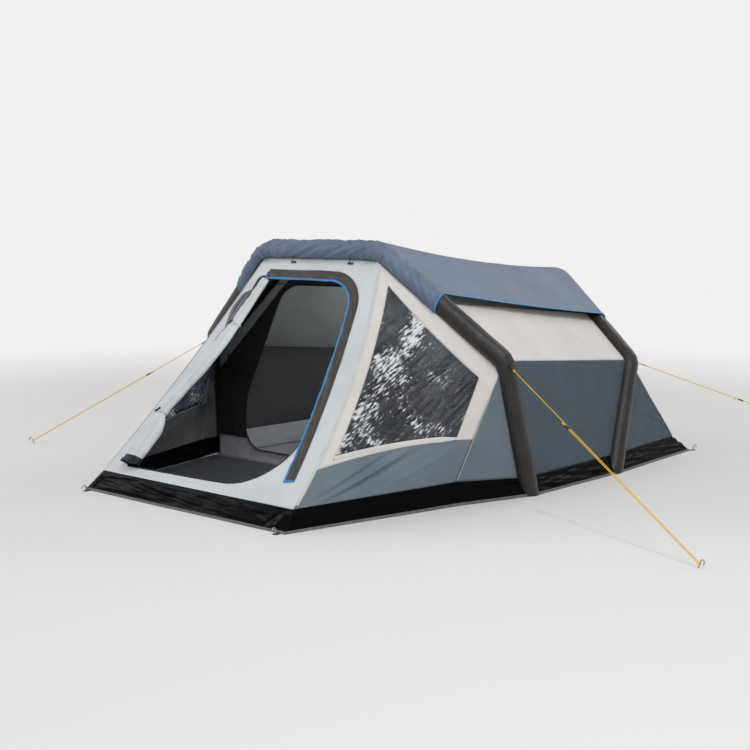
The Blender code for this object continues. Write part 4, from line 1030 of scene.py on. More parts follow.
def coverRelief(w, k, here):
    # gathers along the front edge, folds drawn from the shoulders, slack ripples over the roof
    side = abs(w - 2.5)
    seed = 3.0 if w > 2.5 else 9.0
    height = 0.0
    if k < 1.35:
        u, v = w * 0.75, k * 0.15
        fade = 1 - smooth((k - 0.9) / 0.45)
        kink = math.exp(-((side - 0.5) / 0.10) ** 2) * (1 - 0.8 * smooth((k - 0.35) / 0.5))
        height += kink * streaked(u, v, ((84, 0.020, 0.30, 0.024, seed), (60, 0.035, 0.20, 0.014, seed + 1))) * fade
        if w < 2:
            # the left arm is bunched, and bags over the hip
            height += fade * streaked(u, v, coverFolds["left"]) * smooth((2 - w) / 0.08)
            height += coverLook["bag"] * smooth((2.02 - w) / 0.10) * smooth((w - 1.56) / 0.20) * (
                math.sin(math.pi * clamp((k + 0.35) / 1.5)))
        elif w > 3:
            height += fade * streaked(u, v, coverFolds["right"])
        else:
            # slanting folds where the sheet is pulled round the top tube
            taut = smooth(min(w - 2, 3 - w) / 0.06)
            height += fade * taut * streaked(u, v, coverFolds["top"])
    if k > 1.02:
        height += 0.0035 * crumpled(here * 0.8, seed, 14.0)
    lowest = -0.0035 if side < 0.88 else 0.0
    return max(height, lowest) if k < 1.25 or k > 1.95 else height


def coverAt(i, j):
    w = mix(coverSpan[0], coverSpan[1], i / coverLook["around"])
    k = coverK(j)
    if k < 1:
        w += 0.04 * (1 - k) * smooth((w - 3.30) / 0.165)
    here = coverPoint(w, k)
    hold = smooth((k + 0.02) / 0.12) if k < 1 else smooth((3.02 - k) / 0.12)
    centre = softened(frontLine if k < 1.5 else rearLine, w, coverLook["round"])
    way = (here - centre).normalized() if (k < 1 or k > 2) else squareTo(frontLine, rearLine, w)[1]
    return here + way * coverRelief(w, k, here) * mix(0.5, 1.0, hold)


cover = gridSkin("roofCover", coverLook["around"], coverRows, coverAt, size=coverLook["size"])
thicken(cover, clothThick, 1)
finishPiece(cover, "roofCloth", "roof_cloth", ("roof_cover",))
# the cover's inside is painted darker grey: painted shade
cover.data.materials.append(materials["clothBack"])
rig.sheet(cover, flat=coverLook["flat"], held="stretched", rests_on=bothArches, area=coverLook["area"])

pipingLook = {"width": 0.013, "lift": 0.0012}
for label, column, w in (("right", coverLook["around"], coverSpan[1]), ("left", 0, coverSpan[0])):
    def outAt(point):
        if point.y < frontTop.y + 0.12:
            return (point - softened(frontLine, w, coverLook["round"])).normalized()
        if distanceToLine(point, rearLine) < 0.09:
            return (point - softened(rearLine, w + math.copysign(0.05, w - 2.5), coverLook["round"])).normalized()
        return squareTo(frontLine, rearLine, w)[1]

    line = [coverAt(column, j) for j in range(coverRows + 1)]
    strap("coverPiping_" + label, [point + outAt(point) * pipingLook["lift"] for point in line], pipingLook["width"],
          tapeThick, "blueTape", "roof_cloth", lambda point, run: outAt(point).cross(run))
print("cover made")


# cabin skins between the two arches

def cabinSkin(w, q):
    return mix(softened(frontLine, w, 0.04), softened(rearLine, w, 0.04), q)


def betweenTubes(surface, s):
    return offTube(surface, s, frontLine, sewnRadius), offTube(surface, s, rearLine, sewnRadius, 1.0, -1)


def pastRearTube(surface, s):
    return offTube(surface, s, rearLine, sewnRadius), 1.0


def trimmed(surface, limits=betweenTubes):
    # the same skin, from the one tube's surface to the other's or to its hem
    found = {}

    def cut(s, t):
        key = round(s, 5)
        if key not in found:
            found[key] = limits(surface, s)
        return surface(s, mix(*found[key], t))
    return cut


coverEdge = 3 + coverLook["end"]
clothSheet("cabinRoof", trimmed(lambda s, t: cabinSkin(mix(5 - coverEdge, coverEdge, s), t) - Vector((0, 0, 0.020))),
           90, 36, {"size": (1.9, 1.5), "flat": (1.95, 1.7), "cloth": "paleCloth", "node": "cabin_roof", "sag": 0.045,
                    "crumple": 0.003})


def sideLower(s, t):
    return mix(mix(frontKnee, frontHem, s), mix(rearKnee, rearHem, s), t)


for side, hand in hands:
    clothSheet("sideUpper_" + side, trimmed(lambda s, t: cabinSkin(mix(coverEdge, 4, s), t)), 40, 70,
               {"size": (0.47, 1.5), "flat": (0.47, 1.75), "cloth": "warmCloth", "node": "side_upper_" + side,
                "seed": 2.0, "crumple": 0.004, "sag": 0.006, "free": "l"}, hand)
    clothSheet("sideLower_" + side, trimmed(sideLower), 50, 70,
               {"size": (0.68, 1.4), "flat": (0.70, 1.45), "cloth": "slateCloth", "node": "side_lower_" + side,
                "seed": 3.0, "crumple": 0.005, "sag": 0.004}, hand)
print("cabin made")


# porch sides: pale frame, window, grey lower panel and the gusset behind the stitched fold

windowLook = {"front": 0.095, "back": 0.879, "inset": 0.010, "top": (0.083, 0.156), "bottom": (0.833, -0.191),
              "panel": (0.854, -0.207), "streaks": ((33, 0.030, 0.30, 0.0065, 2.0), (28, 0.014, 0.16, 0.0030, 8.0))}


def windowRow(s, row):
    edges = [windowLook[key][0] + windowLook[key][1] * s for key in ("top", "bottom", "panel")]
    return along([0.0] + edges + [1.0], row)


def porchAt(s, row):
    return porchSkin(s, windowRow(s, row))


def banded(index, counts, marks):
    for count, (low, high) in zip(counts, zip(marks, marks[1:])):
        if index <= count:
            return mix(low, high, index / count)
        index -= count
    return marks[-1]


sMarks, rowMarks = (0.0, windowLook["front"], windowLook["back"], 1.0), (0.0, 1.0, 2.0, 3.0)
sCounts, rCounts = (8, 34, 6), (6, 34, 2)
sTotal, rTotal = sum(sCounts), sum(rCounts)
for side, hand in hands:
    trims = {}

    def framePoint(s, t):
        share, row = banded(s * sTotal, sCounts, sMarks), banded(t * rTotal, rCounts, rowMarks)
        if row < 1.0:
            key = round(share, 4)
            if key not in trims:
                trims[key] = offTube(porchAt, share, frontLine, tent["tube"] * 0.95)
            row = mix(trims[key], 1.0, row)
        return porchAt(share, row)

    # its inside is painted a lighter grey: painted light that comes through the pale cloth
    clothSheet("porchSide_" + side, framePoint, sTotal, rTotal,
               {"size": (1.0, 1.15), "flat": (0.90, 1.15), "cloth": "warmCloth", "back": "warmBack",
                "node": "porch_side_" + side, "seed": 4.0, "crumple": 0.002, "rests": ["front_arch"]}, hand,
               cut=lambda i, j: 0 < i - sCounts[0] < sCounts[1] and 0 < j - rCounts[0] < rCounts[1])

    def filmPoint(s, t):
        share = mix(windowLook["front"] - windowLook["inset"], windowLook["back"] + windowLook["inset"], s)
        point = porchAt(share, mix(0.97, 2.02, t))
        return point - outwardFrom(point) * 0.0022

    rim = (filmPoint(1, 1) - filmPoint(0, 1)).normalized()
    fall = filmPoint(0, 1) - filmPoint(0, 0)
    fall = (fall - fall.dot(rim) * rim).normalized()
    clothSheet("windowFilm_" + side, filmPoint, 110, 110,
               {"size": (0.75, 0.85), "straight": (rim, fall), "flat": (0.75, 0.85), "cloth": "windowFilm",
                "back": None, "node": "window_" + side, "seed": 5.0, "crumple": 0.003, "fine": 30.0,
                "thickness": filmThick, "hold": 0.03, "rests": ["porchSide_" + side],
                "streaks": windowLook["streaks"],
                "folds": ((0.05, 0.75, 0.62, 0.10, 0.006, 0.020), (0.16, 0.80, 0.70, 0.25, -0.006, 0.016),
                          (0.02, 0.55, 0.45, 0.06, -0.005, 0.014), (0.25, 0.80, 0.72, 0.42, 0.007, 0.018),
                          (0.05, 0.62, 0.55, 0.12, 0.005, 0.010), (0.12, 0.50, 0.40, 0.15, 0.005, 0.012))}, hand)
    clothSheet("porchLower_" + side, lambda s, t: porchAt(s, 3 + t), 60, 30,
               {"size": (1.05, 0.29), "flat": (1.10, 0.36), "cloth": "greyCloth", "node": "porch_lower_" + side,
                "seed": 6.0, "crumple": 0.003, "hold": 0.025, "rests": ["porchSide_" + side],
                "folds": ((0.14, 0.27, 0.62, 0.01, 0.022, 0.020), (0.08, 0.26, 0.50, 0.01, -0.016, 0.015),
                          (0.20, 0.28, 0.72, 0.02, -0.012, 0.022), (0.50, 0.28, 0.95, 0.05, 0.006, 0.020))}, hand)

    def gussetSkin(s, t):
        return mix(mix(frontKnee, foldFoot, t), mix(frontKnee, frontHem, t), s)

    gussetTrim = {}

    def gussetPoint(s, t):
        t = mix(0.05, 1.0, t)
        key = round(t, 4)
        if key not in gussetTrim:
            low, high = 0.0, 1.0
            for _ in range(16):
                middle = (low + high) / 2
                if distanceToLine(gussetSkin(middle, t), frontLine) < sewnRadius:
                    high = middle
                else:
                    low = middle
            gussetTrim[key] = low
        return gussetSkin(s * gussetTrim[key], t)

    clothSheet("porchGusset_" + side, gussetPoint, 20, 40,
               {"size": (0.34, 0.72), "flat": (0.36, 0.75), "cloth": "greyCloth", "node": "porch_gusset_" + side,
                "seed": 7.0, "crumple": 0.003, "hold": 0.03, "rests": ["front_arch"]}, hand)
    hem = (windowLook["front"], windowLook["back"])
    seams = (("hipSeam_", [porchSkin(0.0085, mix(0.055, 0.985, n / 60)) for n in range(61)], 0.016, "whiteTape",
              0.0028, None),
             ("windowHem_", [porchAt(mix(*hem, n / 60), 1.990) for n in range(61)], 0.030, "warmCloth", 0.0040,
              lambda t: mix(1.0, 0.5, smooth((t - 0.85) / 0.15))),
             ("foldStitch_", [mix(frontKnee, foldFoot, mix(0.30, 0.985, n / 40)) for n in range(41)], 0.004,
              "whiteTape", 0.0040, None))
    for label, line, width, cloth, lift, taper in seams:
        line = [point + outwardFrom(point) * lift for point in line]
        strap(label + side, line if hand > 0 else [flip(point) for point in line], width, clothThick, cloth,
              "side_cloth", tapeWay, taper)
print("porch sides made")


# the front wall's cloth with its door opening, and what is sewn to it

def acrossWall(point, run):
    return wallUp


doorTop = wallLength - 0.1847
doorLook = {"sill": 0.057, "rise": 0.015, "crown": 0.260, "lip": 0.390, "heel": 0.040}
doorLook["leftTop"], doorLook["leftFoot"] = 0.060 - wallHalf(doorTop), 0.135 - wallHalf(doorLook["sill"])
doorLook["rightTop"], doorLook["rightFoot"] = wallHalf(doorTop) - 0.133, wallHalf(doorLook["sill"]) - 0.130
rightSill = doorLook["sill"] + doorLook["rise"]


def rounded(corners, steps=10):
    # an outline from corners of x, y and radius
    outline = []
    count = len(corners)
    for index, (x, y, radius) in enumerate(corners):
        corner = Vector((x, y))
        if radius <= 0:
            outline.append(corner)
            continue
        back = (Vector(corners[index - 1][:2]) - corner).normalized()
        ahead = (Vector(corners[(index + 1) % count][:2]) - corner).normalized()
        half = math.acos(clamp(back.dot(ahead), -1, 1)) / 2
        reach = radius / math.tan(half)
        middle = corner + (back + ahead).normalized() * radius / math.sin(half)
        start, end = corner + back * reach - middle, corner + ahead * reach - middle
        turn = math.copysign(math.pi - 2 * half, start.x * end.y - start.y * end.x)
        for step in range(steps + 1):
            angle = turn * step / steps
            outline.append(middle + Vector((start.x * math.cos(angle) - start.y * math.sin(angle),
                                            start.x * math.sin(angle) + start.y * math.cos(angle))))
    return outline


def rayTo(outline, centre, angle):
    # where a ray from the centre crosses a closed outline
    way = Vector((math.cos(angle), math.sin(angle)))
    best = 0.0
    for a, b in zip(outline, outline[1:] + outline[:1]):
        side = b - a
        down = way.x * side.y - way.y * side.x
        if abs(down) < 1e-12:
            continue
        gap = a - centre
        reach = (gap.x * side.y - gap.y * side.x) / down
        share = (gap.x * way.y - gap.y * way.x) / down
        if reach > best and -1e-6 <= share <= 1 + 1e-6:
            best = reach
    return centre + way * best


def ringSkin(name, inner, outer, centre, rows, place, step=0.035):
    # a sheet between a hole and its outline, in rings; place(x, y) puts a flat point on the object
    angles = set()
    for point in list(inner) + list(outer):
        angles.add(round(math.atan2(point.y - centre.y, point.x - centre.x), 5))
    angles = sorted(angles)
    filled = []
    for a, b in zip(angles, angles[1:] + [angles[0] + 2 * math.pi]):
        if b - a < 0.0004:
            continue
        count = max(1, math.ceil((b - a) / step))
        filled += [a + (b - a) * n / count for n in range(count)]
    columns = len(filled)
    inside = [rayTo(inner, centre, angle) for angle in filled]
    outside = [rayTo(outer, centre, angle) for angle in filled]

    def flatAt(i, j):
        return mix(inside[i % columns], outside[i % columns], j / rows)

    def pointAt(i, j):
        point = flatAt(i, j)
        return place(point.x, point.y, j / rows)

    return gridSkin(name, columns, rows, pointAt, uvAt=lambda i, j: tuple(flatAt(i, j)), weld=True)


wallFlat = (1.58, 1.67)
doorOutline = rounded(((doorLook["leftTop"], doorTop, doorLook["heel"]),
                       (doorLook["rightTop"], doorTop, doorLook["crown"]),
                       (doorLook["rightFoot"], rightSill, doorLook["lip"]),
                       (doorLook["leftFoot"], doorLook["sill"], doorLook["heel"])), 14)
headRoom = wallLength - sewnRadius
wallOutline = [Vector((wallHalf(v), v)) for v in shares(headRoom, 0.0, 24)]
wallOutline += [Vector((-wallHalf(v), v)) for v in shares(0.0, headRoom, 24)]


wallFolds = ((0.95, 0.02, 1.42, 0.60, 0.0045, 0.030), (0.55, 0.03, 1.15, 0.075, 0.004, 0.014),
             (1.28, 0.60, 1.37, 1.30, -0.003, 0.020), (0.30, 0.02, 0.75, 0.04, -0.003, 0.012),
             (0.66, 1.50, 1.02, 1.56, 0.004, 0.016))


def wallRelief(x, v):
    # taut cloth, with a few long creases that run from the corners
    crumple = 0.004 * crumpled(Vector((x * 1.3, v, 0.3)), 3.0, 12.0)
    return clamp(crumple + foldHeight(x + 0.8, v, wallFolds), -0.006, 0.008)


def frontPlace(x, v, share):
    return onWall(x, v, wallRelief(x, v) * (smooth(min(1.0, (1 - share) / 0.35)) * 0.9 + 0.1))


frontCloth = ringSkin("frontWall", doorOutline, wallOutline, Vector((0.03, 0.76)), 16, frontPlace)
thicken(frontCloth, clothThick, 1)
finishPiece(frontCloth, "paleCloth", "pale_cloth", ("front_wall",))
# the wall's inside is painted a lighter grey: painted light that comes through the pale cloth
frontCloth.data.materials.append(materials["warmBack"])
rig.sheet(frontCloth, flat=wallFlat, held="stretched", rests_on=["front_arch"], area=skinArea(frontCloth, wallFlat))


def resampled(path, step):
    lengths = measured(path)
    count = max(2, round(lengths[-1] / step))
    points, k = [], 0
    for n in range(count + 1):
        reach = lengths[-1] * n / count
        while k < len(path) - 2 and lengths[k + 1] < reach:
            k += 1
        points.append(mix(path[k], path[k + 1], (reach - lengths[k]) / max(lengths[k + 1] - lengths[k], 1e-9)))
    return points


def beside(path, index, distance):
    a, b = path[max(index - 1, 0)], path[min(index + 1, len(path) - 1)]
    run = (b - a).normalized()
    return path[index] + Vector((run.y, -run.x)) * distance


flapLook = {"left": doorLook["leftTop"] + 0.072, "foot": 0.155, "width": 0.072, "under": 0.046, "tape": 0.014,
            "columns": 14, "low": 0.0022, "lift": 0.0035, "wave": 0.0030, "belly": 0.0030, "ridge": 0.0016,
            "streaks": ((7, 0.014, 0.16, 0.0035, 3.0),)}
flapFootX = doorLook["rightTop"] + (doorLook["rightFoot"] - doorLook["rightTop"]) * (
    (doorTop - flapLook["foot"]) / (doorTop - rightSill))
flapRoute = resampled(rounded(((flapLook["left"], doorTop, 0), (doorLook["rightTop"], doorTop, doorLook["crown"]),
                               (flapFootX, flapLook["foot"], 0)), 20), 0.008)
flapLength = measured(flapRoute)[-1]
flapRows = len(flapRoute) - 1


def flapPoint(share, row, lift=0.0):
    # share 0 is the sewn edge, 1 the free edge over the zip
    point = beside(flapRoute, row, mix(-flapLook["under"], flapLook["width"] - flapLook["under"], share))
    reach = flapLength * row / flapRows
    free = smooth(share)
    h = flapLook["low"] + flapLook["lift"] * free
    h += free * flapLook["wave"] * rough(reach * 9, share * 2, 1.0)
    h += flapLook["belly"] * math.sin(math.pi * share) * (0.5 + rough(reach * 3.2, share * 5, 7.0))
    h += flapLook["ridge"] * math.exp(-((share - 0.35 - 0.1 * rough(reach * 2, 0, 0)) / 0.09) ** 2)
    h += streaked(reach, share * flapLook["width"], flapLook["streaks"]) * smooth(share / 0.15)
    return onWall(point.x, point.y, max(h, 0.0016) + max(wallRelief(point.x, point.y), 0.0) + lift)


flap = gridSkin("stormFlap", flapLook["columns"], flapRows, lambda i, j: flapPoint(i / flapLook["columns"], j),
                size=(flapLook["width"], flapLength))
thicken(flap, clothThick)
finishPiece(flap, "flapCloth", "flap_cloth", ("storm_flap",))
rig.sheet(flap, flat=(flapLook["width"], flapLength + 0.02), held="stretched", rests_on=["frontWall"])
taper = flapLook["tape"] / flapLook["width"]


def tapeAt(i, j):
    share = mix(1 - taper, 1.02, i / 3)
    return flapPoint(min(share, 1.0), j, 0.0014 + 0.0006 * math.sin(math.pi * i / 3)) + (
        wallOut * (-0.001 if i in (0, 3) else 0.0))


flapTape = gridSkin("flapTape", 3, flapRows, tapeAt, size=(flapLook["tape"], flapLength))
thicken(flapTape, tapeThick)
finishPiece(flapTape, "blueTape", "flap_cloth")
strap("flapFootTape", [flapPoint(share, flapRows, 0.0018) for share in shares(0.02, 1.0, 8)], 0.011, 0.0018,
      "blueTape", "flap_cloth", acrossWall)
strap("flapStartTape", [flapPoint(share, 0, 0.0018) for share in shares(0.30, 1.0, 6)], 0.010, 0.0018,
      "blueTape", "flap_cloth", lambda point, run: xAxis)


# zip under the flap and along the sill: tape and a toothed coil

zipLook = {"gap": 0.0003, "width": 0.010, "thick": 0.0016, "inset": 0.060, "pitch": 0.004, "coil": 0.0019}
zipRoute = rounded(((flapLook["left"], doorTop, 0), (doorLook["rightTop"], doorTop, doorLook["crown"]),
                    (doorLook["rightFoot"], rightSill, doorLook["lip"]),
                    (doorLook["leftFoot"] + zipLook["inset"], doorLook["sill"] + 0.0007, 0)), 20)
zipRoute = resampled(zipRoute, 0.012)
zipRows = len(zipRoute) - 1
zipTape = gridSkin("zipTape", 2, zipRows,
                   lambda i, j: onWall(*beside(zipRoute, j, zipLook["gap"] + zipLook["width"] * i / 2), -0.0004),
                   size=(zipLook["width"], measured(zipRoute)[-1]))
thicken(zipTape, 0.0009)
finishPiece(zipTape, "blackWebbing", "moulded", ("zip_track",))
coilPath = resampled([beside(zipRoute, j, zipLook["gap"] + zipLook["width"] * 0.7) for j in range(zipRows + 1)],
                     zipLook["pitch"] / 2)
coilPath = [onWall(point.x, point.y, -0.0008) for point in coilPath]
zipCoil = sweep("zipCoil", coilPath, lambda share, angle: zipLook["coil"] * (
    1.0 if round(share * (len(coilPath) - 1)) % 2 else 0.62), 6)
finishPiece(zipCoil, "blackNylon", "moulded", smoothShade=False)

# the slider: a waisted body with a bridge and a pull
sliderLook = {"length": 0.022, "width": 0.012, "height": 0.006}
sliderV = doorTop - zipLook["gap"] - zipLook["width"] / 2
sliderMiddle = facetAt(flapLook["left"] + 0.022, sliderV, -0.0022 - sliderLook["height"] / 2)
sliderOut = facetOut(sliderV)


def sliderBody(i, j):
    angle = 2 * math.pi * i / 24
    t = j / 16
    waist = 1.0 - 0.22 * math.sin(math.pi * t) ** 2
    end = math.sin(math.pi * clamp(0.04 + 0.92 * t)) ** 0.25
    x = mix(-0.5, 0.5, t) * sliderLook["length"]
    c, s = math.cos(angle), math.sin(angle)
    y = math.copysign(abs(c) ** 0.5, c) * sliderLook["width"] / 2 * waist * end
    z = math.copysign(abs(s) ** 0.5, s) * sliderLook["height"] / 2 * end
    return sliderMiddle + Vector((x, 0, 0)) + sliderOut.cross(xAxis) * y + sliderOut * z


slider = gridSkin("zipSlider", 24, 16, sliderBody, closed=True)
sealed(slider)
finishPiece(slider, "zincSteel", "moulded", ("zip_slider",), body="zip_slider")
pullTop = sliderMiddle - sliderOut * sliderLook["height"] / 2
pull = [pullTop + Vector((0, 0.0006, -0.003 - 0.030 * n / 6)) for n in range(7)]
strap("zipPull", pull, 0.006, tapeThick, "blackNylon", "moulded", lambda point, run: xAxis)
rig.ride(bpy.data.objects["zipPull"], "zip_slider")
print("front wall made")


# the rolled door

rollLook = {"edge": math.radians(62), "turn": 0.0040, "crease": 0.0030, "band": 0.044, "pinch": 0.0035,
            "pinchReach": 0.075, "dimple": 0.0022, "hollow": 0.0035, "columns": 110, "rows": 230, "layers": 6}
# places, counted from the top, where a band or the strap draws the roll in
rollBands, strapPlace = {"upper": 3, "lower": 9}, 14
rollPlaces = ((0.103, 0.969, 0.030, 0.024), (0.098, 0.927, 0.035, 0.028), (0.091, 0.836, 0.042, 0.034),
              (0.081, 0.734, 0.047, 0.033), (0.078, 0.661, 0.051, 0.038), (0.067, 0.576, 0.048, 0.036),
              (0.050, 0.485, 0.049, 0.035), (0.023, 0.415, 0.049, 0.032), (0.008, 0.345, 0.058, 0.035),
              (-0.010, 0.268, 0.055, 0.030), (0.023, 0.226, 0.070, 0.039), (0.052, 0.170, 0.087, 0.044),
              (0.062, 0.114, 0.085, 0.043), (0.074, 0.072, 0.081, 0.041), (0.076, 0.034, 0.070, 0.035),
              (0.078, 0.012, 0.066, 0.033))
rollStations = []
for inset, share, wide, high in rollPlaces:
    rollStations.append((mix(doorLook["leftFoot"], doorLook["leftTop"], share) + inset,
                         mix(doorLook["sill"], doorTop, share), wide, high))
rollPoints = []
for index, station in enumerate(rollStations):
    if index in rollBands.values():
        (xa, va), (xb, vb) = rollStations[index - 1][:2], rollStations[index + 1][:2]
        for part in (rollLook["band"] / 2, -rollLook["band"] / 2):
            rollPoints.append((station[0] + (xb - xa) / (vb - va) * part, station[1] + part, *station[2:]))
    else:
        rollPoints.append(station)


def rollAt(v):
    # centre across, half width and half height of the roll at a place up the slope, with its corners eased
    total = Vector((0.0, 0.0, 0.0))
    for n in range(-3, 4):
        here = clamp(v + 0.005 * n, rollPoints[-1][1], rollPoints[0][1])
        for a, b in zip(rollPoints, rollPoints[1:]):
            if a[1] >= here >= b[1]:
                t = (a[1] - here) / (a[1] - b[1])
                total += mix(Vector((a[0], a[2], a[3])), Vector((b[0], b[2], b[3])), t)
                break
    return total / 7


def rollDepth(v, turned, angle):
    # how far inside the plain oval the cloth lies: its turns, creases, and folds drawn out of each band
    crease = 0.5 + 0.5 * math.sin(3 * angle + 11 * v) * math.cos(2 * angle - 7 * v)
    depth = 0.0006 + rollLook["turn"] * turned + rollLook["crease"] * crease * math.sin(math.pi * turned)
    for station in (*rollBands.values(), strapPlace):
        far = abs(v - rollStations[station][1])
        pinch = rollLook["pinch"] * math.exp(-(far / rollLook["pinchReach"]) ** 2)
        depth += pinch * (0.5 + 0.5 * math.sin(angle * 13 + math.sin(v * 60) * 0.8)) * smooth(far / 0.02)
    c, s = math.cos(angle), math.sin(angle)
    depth += rollLook["dimple"] * abs(rough(c * 1.8, v * 7.0, s * 1.8))
    depth += rollLook["hollow"] * max(0.0, rough(c * 1.1 + v * 3.0, v * 4.5, s * 1.1 + 4))
    return depth


def rollSurface(v, depth, angle):
    x, wide, high = rollAt(v)
    return onWall(x + (wide - depth) * math.cos(angle), v, high + 0.0006 + (high - depth) * math.sin(angle))


rollColumns, rollRows = rollLook["columns"], rollLook["rows"]


def rollPoint(i, j):
    turned = clamp(i / (rollColumns - 1))
    angle = rollLook["edge"] + 2 * math.pi * turned
    v = mix(rollStations[0][1], rollStations[-1][1], j / rollRows)
    depth = rollDepth(v, turned, angle)
    if i >= rollColumns:
        depth, angle = rollDepth(v, 0.0, rollLook["edge"]), rollLook["edge"]
    return rollSurface(v, depth + (0.0008 if j in (0, rollRows) else 0.0), angle)


doorRoll = gridSkin("doorRoll", rollColumns, rollRows, rollPoint, size=(0.30, 1.40), weld=True)
bm = bmesh.new()
bm.from_mesh(doorRoll.data)
# each end shows its layers as a shallow spiral that runs in to the middle
ends = {}
for edge in openEdges(bm):
    ends.setdefault((edge.verts[0].co - wallFoot).dot(wallUp) > 0.7, []).append(edge)
for high, current in ends.items():
    middle = sum((vert.co for edge in current for vert in edge.verts), Vector()) / (2 * len(current))
    for layer in range(rollLook["layers"]):
        grown = bmesh.ops.extrude_edge_only(bm, edges=current)["geom"]
        current = [item for item in grown if isinstance(item, bmesh.types.BMEdge) and len(item.link_faces) == 1]
        depth = (-0.006 if layer % 2 else 0.005) * (-1 if high else 1)
        for vert in grown:
            if isinstance(vert, bmesh.types.BMVert):
                vert.co = mix(vert.co, middle, 0.17 + 0.04 * layer) + wallUp * depth
    bmesh.ops.holes_fill(bm, edges=current, sides=0)
faceOutward(bm)
bm.to_mesh(doorRoll.data)
bm.free()
finishPiece(doorRoll, "paleCloth", "pale_cloth", ("door_roll",))
doorRoll.data.materials.append(materials["rolledFilm"])
for face in doorRoll.data.polygons:
    v = (face.center - wallFoot).dot(wallUp)
    share = (v - doorLook["sill"]) / (doorTop - doorLook["sill"])
    x, wide, high = rollAt(v)
    angle = math.degrees(math.atan2((face.center - onWall(0, v)).dot(wallOut) / high - 1, (face.center.x - x) / wide))
    shown = smooth((share - 0.58) / 0.25) * smooth((0.965 - share) / 0.06)
    inHip = 128 - 40 * shown + 14 * rough(v * 22, 0, 1) < angle % 360 < 215 and shown > 0.02
    if inHip or (v < 0.085 and face.normal.dot(wallUp) < -0.3):
        face.material_index = 1
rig.padded(doorRoll, fill=0.7)


def filmBunch(i, j):
    # the film's edge, bunched between the roll and the hip
    share = mix(0.965, 0.60, j / 90)
    v = mix(doorLook["sill"], doorTop, share)
    x, wide, high = rollAt(v)
    shown = smooth((share - 0.60) / 0.25) * smooth((0.965 - share) / 0.07)
    across = i / 14
    left = mix(x - wide * 0.9, 0.014 - wallHalf(v), shown * (0.92 + 0.06 * rough(v * 14, 2, 0)))
    ripple = 0.5 + 0.5 * math.sin(across * 15 + 2.5 * rough(v * 5, 0, 3))
    return onWall(mix(left, x - wide * 0.55, across), v,
                  0.0022 + max(wallRelief(x, v), 0.0) + (0.002 + 0.009 * ripple) * math.sin(math.pi * across) * shown)


bunch = gridSkin("doorFilm", 14, 90, filmBunch, size=(0.10, 0.52))
thicken(bunch, filmThick)
finishPiece(bunch, "rolledFilm", "pale_cloth")


def rollBand(name, v, width, material, lift):
    # a band drawn round the roll; its ends run down to the wall on both sides
    path = [rollSurface(v, 0.0005 - lift, math.radians(-52) + math.radians(284) * n / 48) for n in range(49)]
    strap(name, path, width, tapeThick, material, "pale_cloth", acrossWall)


strapV = 0.088
for label, index in rollBands.items():
    rollBand("rollBand_" + label, rollStations[index][1], 0.012, "whiteTape", 0.0006)
rollBand("rollStrap", strapV, 0.040, "blackWebbing", 0.0016)
tailStart = rollAt(strapV)[0] - 0.050
strap("rollStrapTail", [onWall(mix(tailStart, -0.712, n / 8), strapV + 0.010 * n / 8, 0.0026) for n in range(9)],
      0.026, tapeThick, "blackWebbing", "pale_cloth", acrossWall)


# toggles on the roll and under the cover's edge

toggleLook = {"length": 0.040, "radius": 0.0055, "waist": 0.0040, "gap": 0.0003, "slant": math.radians(47)}


def toggleShape(name, middle, way):
    half = toggleLook["length"] / 2
    path = [middle + way * mix(-half, half, n / 28) for n in range(29)]

    def radiusAt(share, angle):
        far = abs(share - 0.5) * 2
        radius = mix(toggleLook["waist"], toggleLook["radius"], smooth((far - 0.12) / 0.25))
        cap = clamp((1 - far) / 0.14)
        return radius * math.sqrt(max(0.02, 1 - (1 - cap) ** 2))

    finishPiece(sweep(name + "_bar", path, radiusAt, 18), "blackNylon", "moulded", (name,), body=name)


for name, index in rollBands.items():
    x, v, wide, high = rollStations[index]
    out, turn = facetOut(v), toggleLook["slant"]
    toggleShape("door_toggle_" + name, facetAt(x, v, 2 * high + 0.0006 + toggleLook["radius"]),
                xAxis * math.cos(turn) + out.cross(xAxis) * math.sin(turn))
tieHeight = wallLength - tent["tube"] - 0.028
for name, x in (("left", -0.203), ("right", 0.266)):
    toggleShape("top_tie_" + name, facetAt(x, tieHeight, toggleLook["gap"] + toggleLook["radius"]), xAxis)
    low = facetAt(x, tieHeight, toggleLook["gap"] + 2 * toggleLook["radius"])
    high = onWall(x, wallLength - 0.045, 0.030)
    route = spline([high, mix(high, low, 0.4) + wallOut * 0.004, mix(high, low, 0.75) + wallOut * 0.004, low], 18)
    tieCord = sweep("tieCord_" + name, route, lambda share, angle: 0.0016, 8)
    finishPiece(tieCord, "blackCord", "cord")
    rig.cord(tieCord, exit=tuple(high), length=measured(route)[-1], diameter=0.0032, far_end="object",
            stiffness="limp", lay="hanging", path=[tuple(point) for point in route])
hangTop = onWall(-0.257, doorTop - 0.020, 0.0075)
hangRoute = [hangTop + Vector((0.002 * math.sin(n * 0.5), -0.002 * math.sin(n * 0.4), -0.072 * n / 16))
             for n in range(17)]
hangCord = sweep("flapCord", hangRoute, lambda share, angle: 0.0017, 8)
finishPiece(hangCord, "blackCord", "cord")
hangEnd = sweep("flapCordKnot", [hangRoute[-1] + Vector((0, 0, 0.006 - 0.014 * n / 8)) for n in range(9)],
                lambda share, angle: 0.0042 * math.sqrt(max(0.03, 1 - (2 * share - 1) ** 2)), 12)
finishPiece(hangEnd, "blackNylon", "cord")
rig.cord(hangCord, exit=tuple(hangTop), length=measured(hangRoute)[-1], diameter=0.0034, far_end="knot",
        stiffness="limp", lay="hanging", path=[tuple(point) for point in hangRoute], with_pieces=[hangEnd])
print("door roll and toggles made")


# rear wall and its gores, with folds drawn to the corners

def rearSheet(s, t):
    return mix(mix(flip(rearTop), rearTop, s), mix(flip(rearCorner), rearCorner, s), t)


